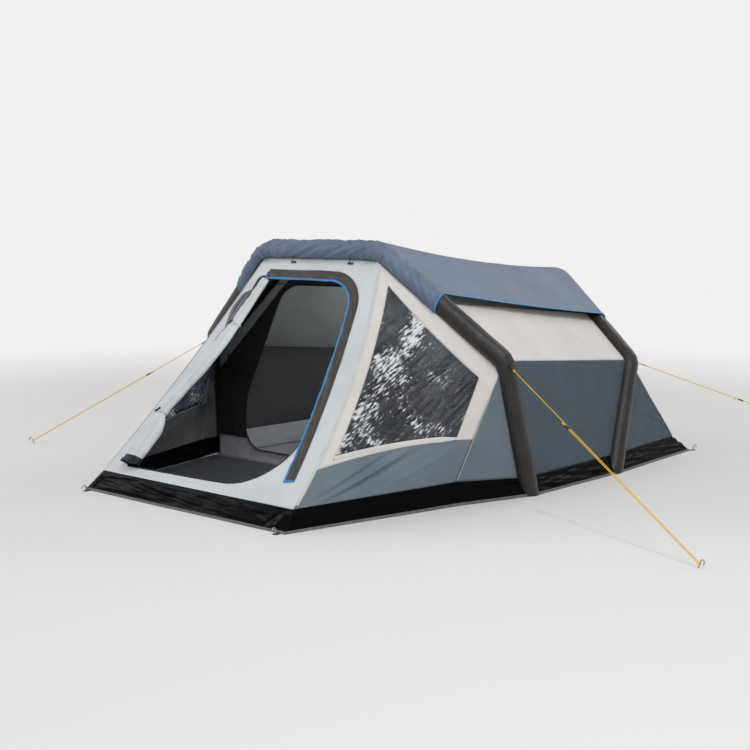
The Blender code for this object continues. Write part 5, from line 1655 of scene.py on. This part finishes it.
clothSheet("rearWall", trimmed(rearSheet, pastRearTube), 70, 50,
           {"size": (1.6, 1.1), "flat": (2.28, 1.25), "cloth": "slateCloth", "node": "rear_wall", "seed": 8.0,
            "crumple": 0.005, "rests": ["rear_arch"]})
for side, hand in hands:
    clothSheet("rearGore_" + side,
               trimmed(lambda s, t: mix(along([rearTop, rearKnee, rearHem], 2 * s), rearCorner, t), pastRearTube),
               90, 50,
               {"size": (1.5, 0.95), "flat": (1.55, 1.30), "cloth": "slateCloth", "node": "rear_gusset_" + side,
                "seed": 9.0, "crumple": 0.004, "hold": 0.04, "rests": ["rear_arch"],
                "folds": ((0.55, 0.20, 0.75, 0.93, 0.006, 0.020), (0.85, 0.15, 0.80, 0.93, -0.006, 0.020),
                          (1.10, 0.20, 0.83, 0.93, 0.005, 0.020), (0.30, 0.30, 0.72, 0.93, -0.004, 0.020))}, hand)
print("rear made")


# mud skirt: glossy sheet that fans out at the corners, with a grey edge on the ground

skirtLook = {"corner": Vector((0.833, -1.606, 0)), "fold": Vector((1.085, -0.523, 0)),
             "frontLeg": Vector((1.255, 0, 0)), "rearLeg": Vector((1.275, 0.897, 0)),
             "rearCorner": Vector((1.2224, 1.933, 0)), "edge": 0.016, "rows": 22, "round": 0.012,
             "legs": ((1.21, 0), (1.23, 0.897), (-1.21, 0), (-1.23, 0.897)),
             "streaks": ((-5, 0.040, 0.60, 0.009, 4.0), (5, 0.022, 0.40, 0.005, 6.0))}
skirtSet = {
    "skirt_front": ([flip(porchCorner), porchCorner], [flip(skirtLook["corner"]), skirtLook["corner"]], 220,
                    ((0.06, 0.12, 0.90, 0.09, 0.009, 0.024), (0.30, 0.06, 1.15, 0.12, -0.006, 0.022),
                     (0.80, 0.08, 1.56, 0.14, 0.010, 0.022), (1.20, 0.02, 1.60, 0.17, -0.006, 0.020),
                     (1.50, 0.17, 1.57, 0.02, 0.007, 0.014), (1.40, 0.16, 1.55, 0.01, -0.006, 0.012),
                     (0.05, 0.16, 0.02, 0.02, 0.006, 0.014)), (1.60, 0.15)),
    "skirt_porch": ([porchCorner, foldFoot, frontHem],
                    [skirtLook["corner"], skirtLook["fold"], skirtLook["frontLeg"]], 200,
                    ((0.02, 0.02, 0.34, 0.13, 0.008, 0.020), (0.12, 0.05, 0.80, 0.10, -0.005, 0.022),
                     (0.45, 0.04, 1.00, 0.12, 0.007, 0.024), (1.02, 0.02, 1.16, 0.12, 0.006, 0.012),
                     (1.22, 0.02, 1.26, 0.12, -0.006, 0.012), (1.36, 0.12, 1.40, 0.01, 0.005, 0.012)),
                    (1.56, 0.12)),
    "skirt_side": ([frontHem, rearHem], [skirtLook["frontLeg"], skirtLook["rearLeg"]], 120,
                   ((0.10, 0.10, 0.50, 0.04, 0.005, 0.016), (0.45, 0.04, 0.85, 0.10, -0.005, 0.018)), (0.90, 0.11)),
    "skirt_rear": ([rearHem, rearCorner, flip(rearCorner), flip(rearHem)],
                   [skirtLook["rearLeg"], skirtLook["rearCorner"], flip(skirtLook["rearCorner"]),
                    flip(skirtLook["rearLeg"])], 300,
                   ((0.10, 0.10, 0.80, 0.03, 0.005, 0.016), (0.90, 0.12, 1.00, 0.01, 0.006, 0.014),
                    (3.10, 0.12, 3.00, 0.01, 0.006, 0.014), (1.30, 0.10, 2.80, 0.06, 0.006, 0.025)), (4.1, 0.14)),
}


def skirtPiece(name, node, hem, ground, columns, folds, size, hand):
    spans = spanLengths(ground)
    total = sum(spans)
    rows, corner, seed = skirtLook["rows"], skirtLook["round"], 11.0 + size[0]

    def surface(s, t):
        w = placeAlong(spans, s * total)
        return mix(softened(hem, w, corner), softened(ground, w, corner), t)

    def pointAt(i, j):
        s, t = i / columns, j / rows
        here = surface(s, t)
        a = surface(clamp(s + 0.003), t) - surface(clamp(s - 0.003), t)
        b = surface(s, 1) - surface(s, 0)
        normal = a.cross(b).normalized()
        if normal.dot(outwardFrom(here)) < 0:
            normal = -normal
        u, v = s * size[0], t * size[1]
        leg = min((here - Vector((x, y, here.z))).length for x, y in skirtLook["legs"])
        loose = smooth(v / 0.03) * smooth(min(u, size[0] - u) / 0.03) * smooth((leg - 0.07) / 0.03)
        foot = 1 - smooth((t - 0.72) / 0.16)
        push = (foldHeight(u, v, folds) + streaked(u, v, skirtLook["streaks"])) * foot
        push += 0.0045 * rough(u * 3.0 + v * 6.0, v * 16.0, seed) * foot
        push += 0.0012 * rough(u * 9.0 - v * 20.0, v * 34.0, seed + 3) * foot
        here = here + normal * push * loose
        # the free edge wanders on the ground
        here += (zAxis.cross(a.normalized()) * 0.004 * rough(u * 3.0, 0.5, seed)
                 * smooth(t * 2 - 1) * loose)
        here.z = max(here.z, 0.0016 if t > 0.9 else 0.002)
        return here if hand > 0 else flip(here)

    piece = gridSkin(name, columns, rows, pointAt, size=size)
    thicken(piece, clothThick)
    finishPiece(piece, "skirtSheet", "skirt_sheet", (node,))
    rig.sheet(piece, flat=size, held="stretched", rests_on=bothArches,
             area=flatArea(surface, columns // 4, 4, None, size))
    # binding tape folded up over the free edge
    edge = [pointAt(i, rows) for i in range(columns + 1)]
    slopes = [(pointAt(i, rows - 4) - edge[i]).normalized() for i in range(columns + 1)]
    middle = [a + b * skirtLook["edge"] * 0.5 + outwardFrom(a) * 0.0025 for a, b in zip(edge, slopes)]
    strap(name + "_edge", middle, skirtLook["edge"], clothThick, "greyTape", "skirt_sheet",
          lambda point, run: slopes[middle.index(point)])


for node, shape in skirtSet.items():
    for side, hand in ((("", 1),) if node in ("skirt_front", "skirt_rear") else (("_right", 1), ("_left", -1))):
        skirtPiece(node.replace("skirt_", "skirtSheet_") + side, node + side, *shape, hand)


# rings and corner pegs

ringLook = {"radius": 0.015, "reach": 0.026, "hole": 0.0045, "thick": 0.0030, "web": 0.0026, "head": 0.022}
ringPlaces = {}
for side, hand in hands:
    foot = Vector((hand * (skirtLook["corner"].x - 0.040), skirtLook["corner"].y - ringLook["reach"], 0))
    ringPlaces["front_" + side] = (foot, Vector((0, 1, 0)))
    towards = Vector((-hand * 0.5, -0.866, 0)).normalized()
    foot = Vector((hand * skirtLook["rearCorner"].x, skirtLook["rearCorner"].y, 0)) - towards * ringLook["reach"]
    ringPlaces["rear_" + side] = (foot, towards)
for side, (foot, towards) in ringPlaces.items():
    across = zAxis.cross(towards)
    circle = [Vector((math.cos(n * math.pi / 16), math.sin(n * math.pi / 16))) for n in range(32)]
    hole = [point * ringLook["hole"] for point in circle]
    outer = [point * ringLook["radius"] for point in circle if point.x < 0.3]
    outer += [Vector((ringLook["reach"] + 0.010, -0.011)), Vector((ringLook["reach"] + 0.010, 0.011))]
    outer.sort(key=lambda point: math.atan2(point.y, point.x))
    ring = ringSkin("pegRing_" + side, hole, outer, Vector((0, 0)), 4,
                    lambda x, y, share: foot + towards * x + across * y + Vector((0, 0, 0.0028)), 0.12)
    thicken(ring, ringLook["web"], offset=1 if ring.data.polygons[0].normal.z < 0 else -1)
    finishPiece(ring, "blackWebbing", "skirt_sheet", smoothShade=False)
    makePeg("corner_peg_" + side, foot + Vector((0, 0, ringLook["thick"])), zAxis, -towards, ringLook["head"])
print("skirt and pegs made")


# inner tent: slack walls and roof hung between the arches, a tub floor, and a black front wall

innerLook = {"front": -0.330, "tub": 0.150, "rear": 1.600, "lean": 0.120, "round": 0.07, "sag": 0.022,
             "wave": 0.010, "crumple": 0.004, "rows": 70}
innerFront = [Vector((x, innerLook["front"], z)) for x, z in ((0.410, 1.270), (1.060, 0.700), (1.090, 0.1503))]
innerRear = [Vector((x, innerLook["rear"] - innerLook["lean"] * z, z))
             for x, z in ((0.270, 1.050), (0.880, 0.560), (1.020, 0.1503))]
innerFrontLine, innerRearLine = bothSides(innerFront), bothSides(innerRear)


def innerSurface(s, t):
    w = 5 * s
    return mix(softened(innerFrontLine, w, innerLook["round"]), softened(innerRearLine, w, innerLook["round"]), t)


def inwardFrom(here):
    return (Vector((0, here.y, 0.45)) - here).normalized()


def innerPart(name, sLow, sHigh, columns, cloth, replaces, seed, flat):
    def pointAt(i, j):
        s, t = mix(sLow, sHigh, i / columns), j / innerLook["rows"]
        here = innerSurface(s, t)
        ends = smooth(min(t, 1 - t) / 0.06)
        w = 5 * s
        span = 4 * t * (1 - t)
        slackness = innerLook["sag"] * span * (0.4 + 0.6 * smooth(abs(math.sin(math.pi * w))))
        wave = innerLook["wave"] * rough(w * 1.7, t * 3.0, seed) + innerLook["crumple"] * rough(w * 5, t * 9.0, seed)
        grip = smooth(min(s, 1 - s) / 0.03)
        return here + inwardFrom(here) * (0.004 + (slackness + abs(wave)) * ends * grip)

    piece = gridSkin(name, columns, innerLook["rows"], pointAt, size=flat)
    thicken(piece, linerThick)
    finishPiece(piece, cloth, "liner_cloth", replaces)
    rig.sheet(piece, flat=flat, held="hung", rests_on=bothArches, area=skinArea(piece, flat))


innerPart("innerRoof", 0.222, 0.778, 110, "innerGrey", ("inner_tent",), 2.0, (2.55, 2.00))
# the walls are painted darker than the roof: painted shade under the slate lower fly
innerPart("innerWall_left", 0.0, 0.222, 34, "innerDark", (), 5.0, (0.58, 1.98))
innerPart("innerWall_right", 0.778, 1.0, 34, "innerDark", (), 8.0, (0.58, 1.98))
for side, w in (("right", 3.89), ("left", 1.11)):
    seamLine = []
    for n in range(49):
        here = innerSurface(w / 5, n / 48)
        seamLine.append(here + inwardFrom(here) * (0.012 + 0.010 * 4 * (n / 48) * (1 - n / 48)))
    strap("innerSeam_" + side, seamLine, 0.012, 0.0014, "greyTape", "liner_cloth",
          lambda point, run: inwardFrom(point).cross(run))


rearPlan = [Vector((point.x, point.z)) for point in innerRearLine]


def rearPlace(x, z, share):
    wave = 0.012 * rough(x * 2.2, z * 2.5, 3.0) + 0.006 * rough(x * 6, z * 5, 5.0)
    return Vector((x, innerLook["rear"] - innerLook["lean"] * z - 0.006 - abs(wave) * smooth((1 - share) / 0.15), z))


pinhole = [Vector((0.004 * math.cos(n * math.pi / 8), 0.55 + 0.004 * math.sin(n * math.pi / 8))) for n in range(16)]
rearDisc = ringSkin("innerRear", pinhole, rearPlan, Vector((0, 0.55)), 30, rearPlace, 0.06)
thicken(rearDisc, linerThick)
# the rear is painted darker too: painted shade
finishPiece(rearDisc, "innerDark", "liner_cloth")
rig.sheet(rearDisc, flat=(2.04, 0.95), held="hung", rests_on=["innerRoof"], area=skinArea(rearDisc, (2.04, 0.95)))

# front wall with its doorway, in black
innerDoor = rounded(((-0.835, 0.080, 0.150), (-0.800, 0.440, 0.220), (-0.440, 1.172, 0.220), (0.500, 1.180, 0.260),
                     (0.560, 0.080, 0.180)), 10)
innerWallOutline = [Vector((point.x, point.z)) for point in innerFrontLine]


def innerPlace(x, z, share):
    hold = smooth(min(share + 0.3, (1 - share) * 4))
    wave = innerLook["wave"] * rough(x * 2.6, z * 2.2, 9.0) + innerLook["crumple"] * rough(x * 9, z * 3, 1.0)
    return Vector((x, innerLook["front"] - 0.0012 - (0.5 + wave * 50) * 0.006 * hold, z))


def crossing(points, pick, z):
    xs = []
    for a, b in zip(points, points[1:] + points[:1]):
        if (a.y - z) * (b.y - z) <= 0 and abs(a.y - b.y) > 1e-9:
            xs.append(mix(a, b, (z - a.y) / (b.y - a.y)).x)
    return pick(xs) if xs else 0.0


def panelStrip(name, node, leftEdge, rightEdge, low, high, rows, size, flat):
    # cloth beside the doorway: rows up, columns between two edges, each an outline and which of its sides
    columns = 60

    def pointAt(i, j):
        z = mix(low, high, j / rows)
        x = mix(crossing(*leftEdge, z), crossing(*rightEdge, z), i / columns)
        return innerPlace(x, z, clamp(1 - min(i, columns - i) / columns * 2))

    piece = gridSkin(name, columns, rows, pointAt, size=size)
    thicken(piece, linerThick)
    finishPiece(piece, "innerBlack", "inner_cloth", node)
    piece.data.materials.append(materials["innerGrey"])
    for face in piece.data.polygons:
        # above a slanting seam the corner is pale
        far = abs(face.center.x)
        seam = paleCorner["low"] + (paleCorner["far"] - far) * paleCorner["slope"]
        if far > paleCorner["near"] and face.center.z > seam:
            face.material_index = 1
    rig.sheet(piece, flat=flat, held="hung", rests_on=["innerRoof"], area=skinArea(piece, flat))


paleCorner = {"near": 0.385, "far": 0.839, "low": 0.795, "slope": 0.907}
low, doorHigh = innerLook["tub"] + 0.0006, max(point.y for point in innerDoor) - 0.0004
outerLeft, outerRight = (innerWallOutline, min), (innerWallOutline, max)
panelStrip("innerFront_left", ("inner_front_wall",), outerLeft, (innerDoor, min), low, doorHigh, 120, (0.5, 1.1),
           (0.62, 1.10))
panelStrip("innerFront_right", (), (innerDoor, max), outerRight, low, doorHigh, 120, (0.5, 1.1), (0.70, 1.10))
panelStrip("innerFront_head", (), outerLeft, outerRight, doorHigh, 1.2698, 12, (1.0, 0.1), (1.05, 0.12))

# piping round the doorway, and two seams that cross the left part
piping = [Vector((point.x, innerPlace(point.x, point.y, 0.0).y - 0.0015, point.y)) for point in innerDoor]
piping = resampled(piping + piping[:1], 0.012)
finishPiece(sweep("innerPiping", piping, lambda share, angle: 0.0042, 10), "blackWebbing", "inner_cloth")
seamEnds = (((-0.97, 0.676), (-0.385, 1.207)), ((-1.06, 0.56), (-0.92, 0.70)), ((-0.93, 0.16), (-0.98, 0.70)))
for number, ((x0, z0), (x1, z1)) in enumerate(seamEnds):
    line = []
    for n in range(21):
        x, z = mix(x0, x1, n / 20), mix(z0, z1, n / 20)
        line.append(Vector((x, innerPlace(x, z, 0.6).y - 0.0014, z)))
    strap("innerFrontSeam_%d" % number, line, 0.012, clothThick, "blackWebbing", "inner_cloth",
          lambda point, run: run.cross(Vector((0, 1, 0))))


# tub floor and its upright edge

def groundCloth(name, node, cloth, look, rise):
    # sheet on the ground, flat at its edges: half widths and ends of its plan, and its rise elsewhere
    (frontHalf, rearHalf), (front, rear) = look["halves"], look["ends"]
    columns, rows = look["grid"]

    def pointAt(i, j):
        s, t = i / columns, j / rows
        x = mix(mix(-frontHalf, frontHalf, s), mix(-rearHalf, rearHalf, s), t)
        y = mix(front, rear, t)
        hold = smooth(min(s, 1 - s, t, 1 - t) / look["grip"])
        return Vector((x, y, look["low"] + rise(x, y) * hold))

    piece = gridSkin(name, columns, rows, pointAt, size=look["size"], outward=lambda point: zAxis)
    thicken(piece, linerThick)
    finishPiece(piece, cloth, "floor_sheet", (node,))
    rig.sheet(piece, flat=look["flat"], held="laid", rests_on=["floor"], area=skinArea(piece, look["flat"]))


groundCloth("tubFloor", "inner_floor", "floorSheet",
            {"halves": (1.086, 1.016), "ends": (-0.326, 1.596), "grid": (60, 60), "grip": 0.05, "low": 0.0024,
             "size": (2.1, 1.93), "flat": (2.18, 1.93)},
            lambda x, y: 0.0035 * (0.5 + rough(x * 4, y * 4, 2.0)))


def tubEdge(i, j):
    # the upright rim, which leans in a little and dips under the doorway
    run = tubRun[i]
    height = tubHeight(run) * j / 12
    inwards = (Vector((0, 0.6, 0)) - run).normalized()
    wave = 0.006 * rough(run.x * 5, run.y * 5, j * 0.25) + 0.003 * noise.noise(
        Vector((run.x * 14, run.y * 14, j * 0.5)))
    grip = smooth(j / 4)
    return Vector((run.x, run.y, 0.0012 + height)) + inwards * (0.003 + abs(wave) * grip)


tubCorners = [Vector((x, y, 0)) for x, y in ((-1.090, innerLook["front"]), (1.090, innerLook["front"]),
                                             (1.020, innerLook["rear"]), (-1.020, innerLook["rear"]))]
tubRun = []
for a, b in zip(tubCorners, tubCorners[1:] + tubCorners[:1]):
    count = 150 if abs(a.y - b.y) < 0.01 and a.y < 0 else 90
    tubRun += [mix(a, b, n / count) for n in range(count)]
tubRun.append(tubCorners[0])


def tubHeight(run):
    if run.y < -0.3299 and crossing(innerDoor, min, 0.12) < run.x < crossing(innerDoor, max, 0.12):
        lows = []
        for a, b in zip(innerDoor, innerDoor[1:] + innerDoor[:1]):
            if (a.x - run.x) * (b.x - run.x) <= 0 and abs(a.x - b.x) > 1e-9:
                lows.append(mix(a, b, (run.x - a.x) / (b.x - a.x)).y)
        return min([innerLook["tub"] - 0.001] + [z for z in lows if z > 0])
    return innerLook["tub"] - 0.001


tubRim = gridSkin("tubRim", len(tubRun) - 1, 12, tubEdge, size=(8.0, 0.15), weld=True)
thicken(tubRim, linerThick)
finishPiece(tubRim, "floorSheet", "floor_sheet")
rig.sheet(tubRim, flat=(8.0, 0.15), held="stretched", rests_on=["innerRoof"], area=skinArea(tubRim, (8.0, 0.15)))


# the porch groundsheet is darkened in part as painted shade
groundCloth("porchFloor", "porch_groundsheet", "groundSheet",
            {"halves": (0.866, 1.122), "ends": (-1.440, -0.334), "grid": (70, 50), "grip": 0.04, "low": 0.0018,
             "size": (2.00, 1.10), "flat": (2.25, 1.10)},
            lambda x, y: 0.006 * max(0.0, rough(x * 5, y * 3, 6.0)) + 0.003 * abs(rough(x * 14, y * 8, 6.0)))
print("inner tent made")


# valves with their caps, and the runners

valveLook = {"height": 0.200, "flange": 0.024, "stem": 0.0135, "rise": 0.014, "cap": 0.0165, "capHeight": 0.009}


def lathe(name, profile, origin, across, axis, steps=48, ridges=0, depth=0.0):
    # turned piece from (radius, height) pairs; ridges cut a grip into its widest part
    z = axis.normalized()
    x = (across - across.dot(z) * z).normalized()
    y = z.cross(x)
    widest = max(radius for radius, height in profile)

    def pointAt(i, j):
        radius, height = profile[j]
        angle = 2 * math.pi * i / steps
        if ridges and radius > widest * 0.93:
            radius -= depth * (0.5 + 0.5 * math.cos(angle * ridges))
        radius = max(radius, 0.00002)
        return origin + x * radius * math.cos(angle) + y * radius * math.sin(angle) + z * height

    piece = gridSkin(name, steps, len(profile) - 1, pointAt, closed=True)
    sealed(piece, 0.00006, capped=False)
    return piece


for name, line in (("front_valve", frontLine), ("rear_valve", rearLine)):
    foot, knee = line[0], line[1]
    middle = mix(foot, knee, valveLook["height"] / knee.z)
    leg = (knee - foot).normalized()
    out = -xAxis
    out = (out - out.dot(leg) * leg).normalized()
    tube, stem, flange, wide = tent["tube"], valveLook["stem"], valveLook["flange"], valveLook["cap"]
    top = tube + valveLook["rise"]
    low, high = top + 0.0003, top + 0.0003 + valveLook["capHeight"]
    body = lathe(name + "_body", (
        (0, top), (stem - 0.002, top), (stem - 0.0004, top - 0.0004), (stem, top - 0.002), (stem, tube + 0.0046),
        (stem + 0.001, tube + 0.0036), (flange - 0.002, tube + 0.0028), (flange, tube + 0.0018),
        (flange, tube - 0.010), (0, tube - 0.011)), middle, leg, out)
    finishPiece(body, "blackNylon", "moulded", (name,))
    cap = lathe(name + "_cap_top", (
        (0, high), (wide - 0.004, high), (wide - 0.001, high - 0.0008), (wide, high - 0.003), (wide, low + 0.002),
        (wide, low - 0.005), (stem + 0.0008, low - 0.005), (stem + 0.0008, low), (0, low)), middle, leg, out, 72, 24,
        0.0009)
    finishPiece(cap, "blackNylon", "moulded", (name + "_cap",), body=name + "_cap")

runnerLook = {"wall": 0.005, "high": 0.0045, "round": 0.004, "play": 0.0005,
              "profile": ((-0.5, 0.90), (-0.46, 0.97), (-0.40, 1.0), (-0.12, 1.0), (0.0, 0.93), (0.12, 1.0),
                          (0.40, 1.0), (0.46, 0.97), (0.5, 0.90))}
halfWide, halfHigh, bore = strandGap + runnerLook["wall"], runnerLook["high"], cordRadius + runnerLook["play"]
corner = []
for sx, sy, first in ((1, 1, 0), (-1, 1, 90), (-1, -1, 180), (1, -1, 270)):
    for angle in [math.radians(first + 22.5 * n) for n in range(5)]:
        corner.append(Vector((sx * (halfWide - runnerLook["round"]) + runnerLook["round"] * math.cos(angle),
                              sy * (halfHigh - runnerLook["round"]) + runnerLook["round"] * math.sin(angle))))
for side, (knee, pegX, pegY, share) in guyPlaces.items():
    peg, start, direction, aside = guyRun(knee, pegX, pegY)
    centre = start + direction * (peg + aside * strandGap - start).length * share - aside * strandGap
    up = aside.cross(direction).normalized()

    def runnerVert(place, x, y):
        return bm.verts.new(centre + direction * place * guyLook["runner"] + aside * x + up * y)

    # a body with two bores, built from two ring sections side by side
    bm = bmesh.new()
    bm.loops.layers.uv.new("UVMap")
    for sign in (1, -1):
        middle = Vector((sign * strandGap, 0))
        section = [point for point in corner if point.x * sign > 0]
        section += [Vector((0, -halfHigh)), Vector((0, halfHigh))]
        section.sort(key=lambda point: math.atan2(point.y - middle.y, point.x - middle.x))
        angles = [math.atan2(point.y - middle.y, point.x - middle.x) for point in section]
        angles += [2 * math.pi * n / 24 - math.pi for n in range(24)]
        angles = sorted(set(round(angle, 4) for angle in angles))
        loops = []
        for place, grow in runnerLook["profile"]:
            ring = [rayTo(section, middle, angle) for angle in angles]
            loops.append([runnerVert(place, point.x * (grow if abs(point.x) > 0.0001 else 1), point.y * grow)
                          for point in ring])
        for place in (0.5, -0.5):
            loops.append([runnerVert(place, middle.x + bore * math.cos(angle), bore * math.sin(angle))
                          for angle in angles])
        for loopA, loopB in zip(loops, loops[1:] + loops[:1]):
            for n in range(len(angles)):
                m = (n + 1) % len(angles)
                bm.faces.new((loopA[n], loopA[m], loopB[m], loopB[n]))
    bmesh.ops.remove_doubles(bm, verts=bm.verts[:], dist=0.00002)
    # the faces where the two halves meet lie inside the body
    inner = [face for face in bm.faces if all(abs((vert.co - centre).dot(aside)) < 0.00004 for vert in face.verts)]
    bmesh.ops.delete(bm, geom=inner, context="FACES_ONLY")
    bmesh.ops.recalc_face_normals(bm, faces=bm.faces[:])
    finishPiece(newPiece("runnerBody_" + side, bm), "blackNylon", "moulded", ("runner_" + side,),
                body="runner_" + side)
print("valves and runners made")


# studio: pale floor and world, one large soft key light and two weaker ones

studio = {"floor": "#dededc", "sky": "#f1f1f0", "world": 0.50, "near": 3.6, "far": 9.0}
# a small lamp that the film's creases catch, and two dim ones that stand for the light that comes through the cloth
softLamps = {
    "keyLight": ((5.5, -6.0, 7.5), (0, 0, 0.6), (5.0, 5.0), 270),
    "fillLight": ((-7.0, -3.0, 4.5), (0, 0, 0.6), (5.0, 4.0), 150),
    "backLight": ((1.0, 8.0, 6.0), (0, 0, 0.6), (6.0, 3.0), 150),
    "glintLight": ((5.3, -2.4, 7.2), (0.9, -0.8, 0.6), (0.4, 0.4), 160),
}
roundLamps = {"cabinLight": ((0.15, 0.65, 0.80), 0.20, 18), "porchLight": ((0.10, -0.72, 0.72), 0.12, 5)}


def addLamp(name, kind, spot, power):
    lampData = bpy.data.lights.new(name, kind)
    lampData.energy = power
    lamp = bpy.data.objects.new(name, lampData)
    lamp.location = spot
    scene.collection.objects.link(lamp)
    return lamp, lampData


for name, (spot, aim, size, power) in softLamps.items():
    lamp, lampData = addLamp(name, "AREA", spot, power)
    lampData.shape = "RECTANGLE"
    lampData.size, lampData.size_y = size
    lamp.rotation_euler = (Vector(aim) - Vector(spot)).to_track_quat("-Z", "Y").to_euler()
for name, (spot, radius, power) in roundLamps.items():
    lamp, lampData = addLamp(name, "POINT", spot, power)
    lampData.shadow_soft_size = radius
    lamp.visible_camera = lamp.visible_glossy = lamp.visible_transmission = False


def mixed(tree, share, first, second):
    return addNode(tree, "MixShader", {0: share, 1: first, 2: second}).outputs[0]


world = bpy.data.worlds.new("studio")
scene.world = world
world.use_nodes = True
tree = world.node_tree
tree.nodes.clear()
plainSky = addNode(tree, "Background", {"Color": (1, 1, 1, 1), "Strength": studio["world"]}).outputs[0]
seenSky = addNode(tree, "Background", {"Color": toLinear(studio["sky"]), "Strength": 1.0}).outputs[0]
rays = addNode(tree, "LightPath", {}).outputs
seen = reckoned(tree, "MAXIMUM", rays["Is Camera Ray"], rays["Is Transmission Ray"])
addNode(tree, "OutputWorld", {"Surface": mixed(tree, seen, plainSky, seenSky)})

bm = bmesh.new()
bmesh.ops.create_circle(bm, cap_ends=True, radius=60, segments=96)
studioFloor = newPiece("floor", bm)
tree, shader, _, inSpace = newMaterial("studioFloor")
fillSockets(tree, shader, {"Base Color": toLinear(studio["floor"]), "Roughness": 0.9})
# far from the tent the floor passes into the pale backdrop, for the eye only
reach = addNode(tree, "VectorMath", {0: inSpace}, operation="LENGTH").outputs["Value"]
fade = addNode(tree, "MapRange", {"Value": reach, "From Min": studio["near"], "From Max": studio["far"]},
               interpolation_type="SMOOTHSTEP").outputs["Result"]
rays = addNode(tree, "LightPath", {}).outputs
seen = reckoned(tree, "MAXIMUM", rays["Is Camera Ray"], rays["Is Glossy Ray"])
seen = reckoned(tree, "MAXIMUM", seen, rays["Is Transmission Ray"])
backdrop = addNode(tree, "Emission", {"Color": toLinear(studio["sky"]), "Strength": 1.0}).outputs[0]
surface = mixed(tree, reckoned(tree, "MULTIPLY", fade, seen), shader.outputs[0], backdrop)
tree.links.new(surface, tree.nodes["Material Output"].inputs["Surface"])
studioFloor.data.materials.append(materials["studioFloor"])
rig.stage(studioFloor)

with open("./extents.json", "w") as sizes:
    json.dump({"cad": [list(corner) for corner in cadBox], "scene": [list(corner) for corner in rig.bounds()]}, sizes)
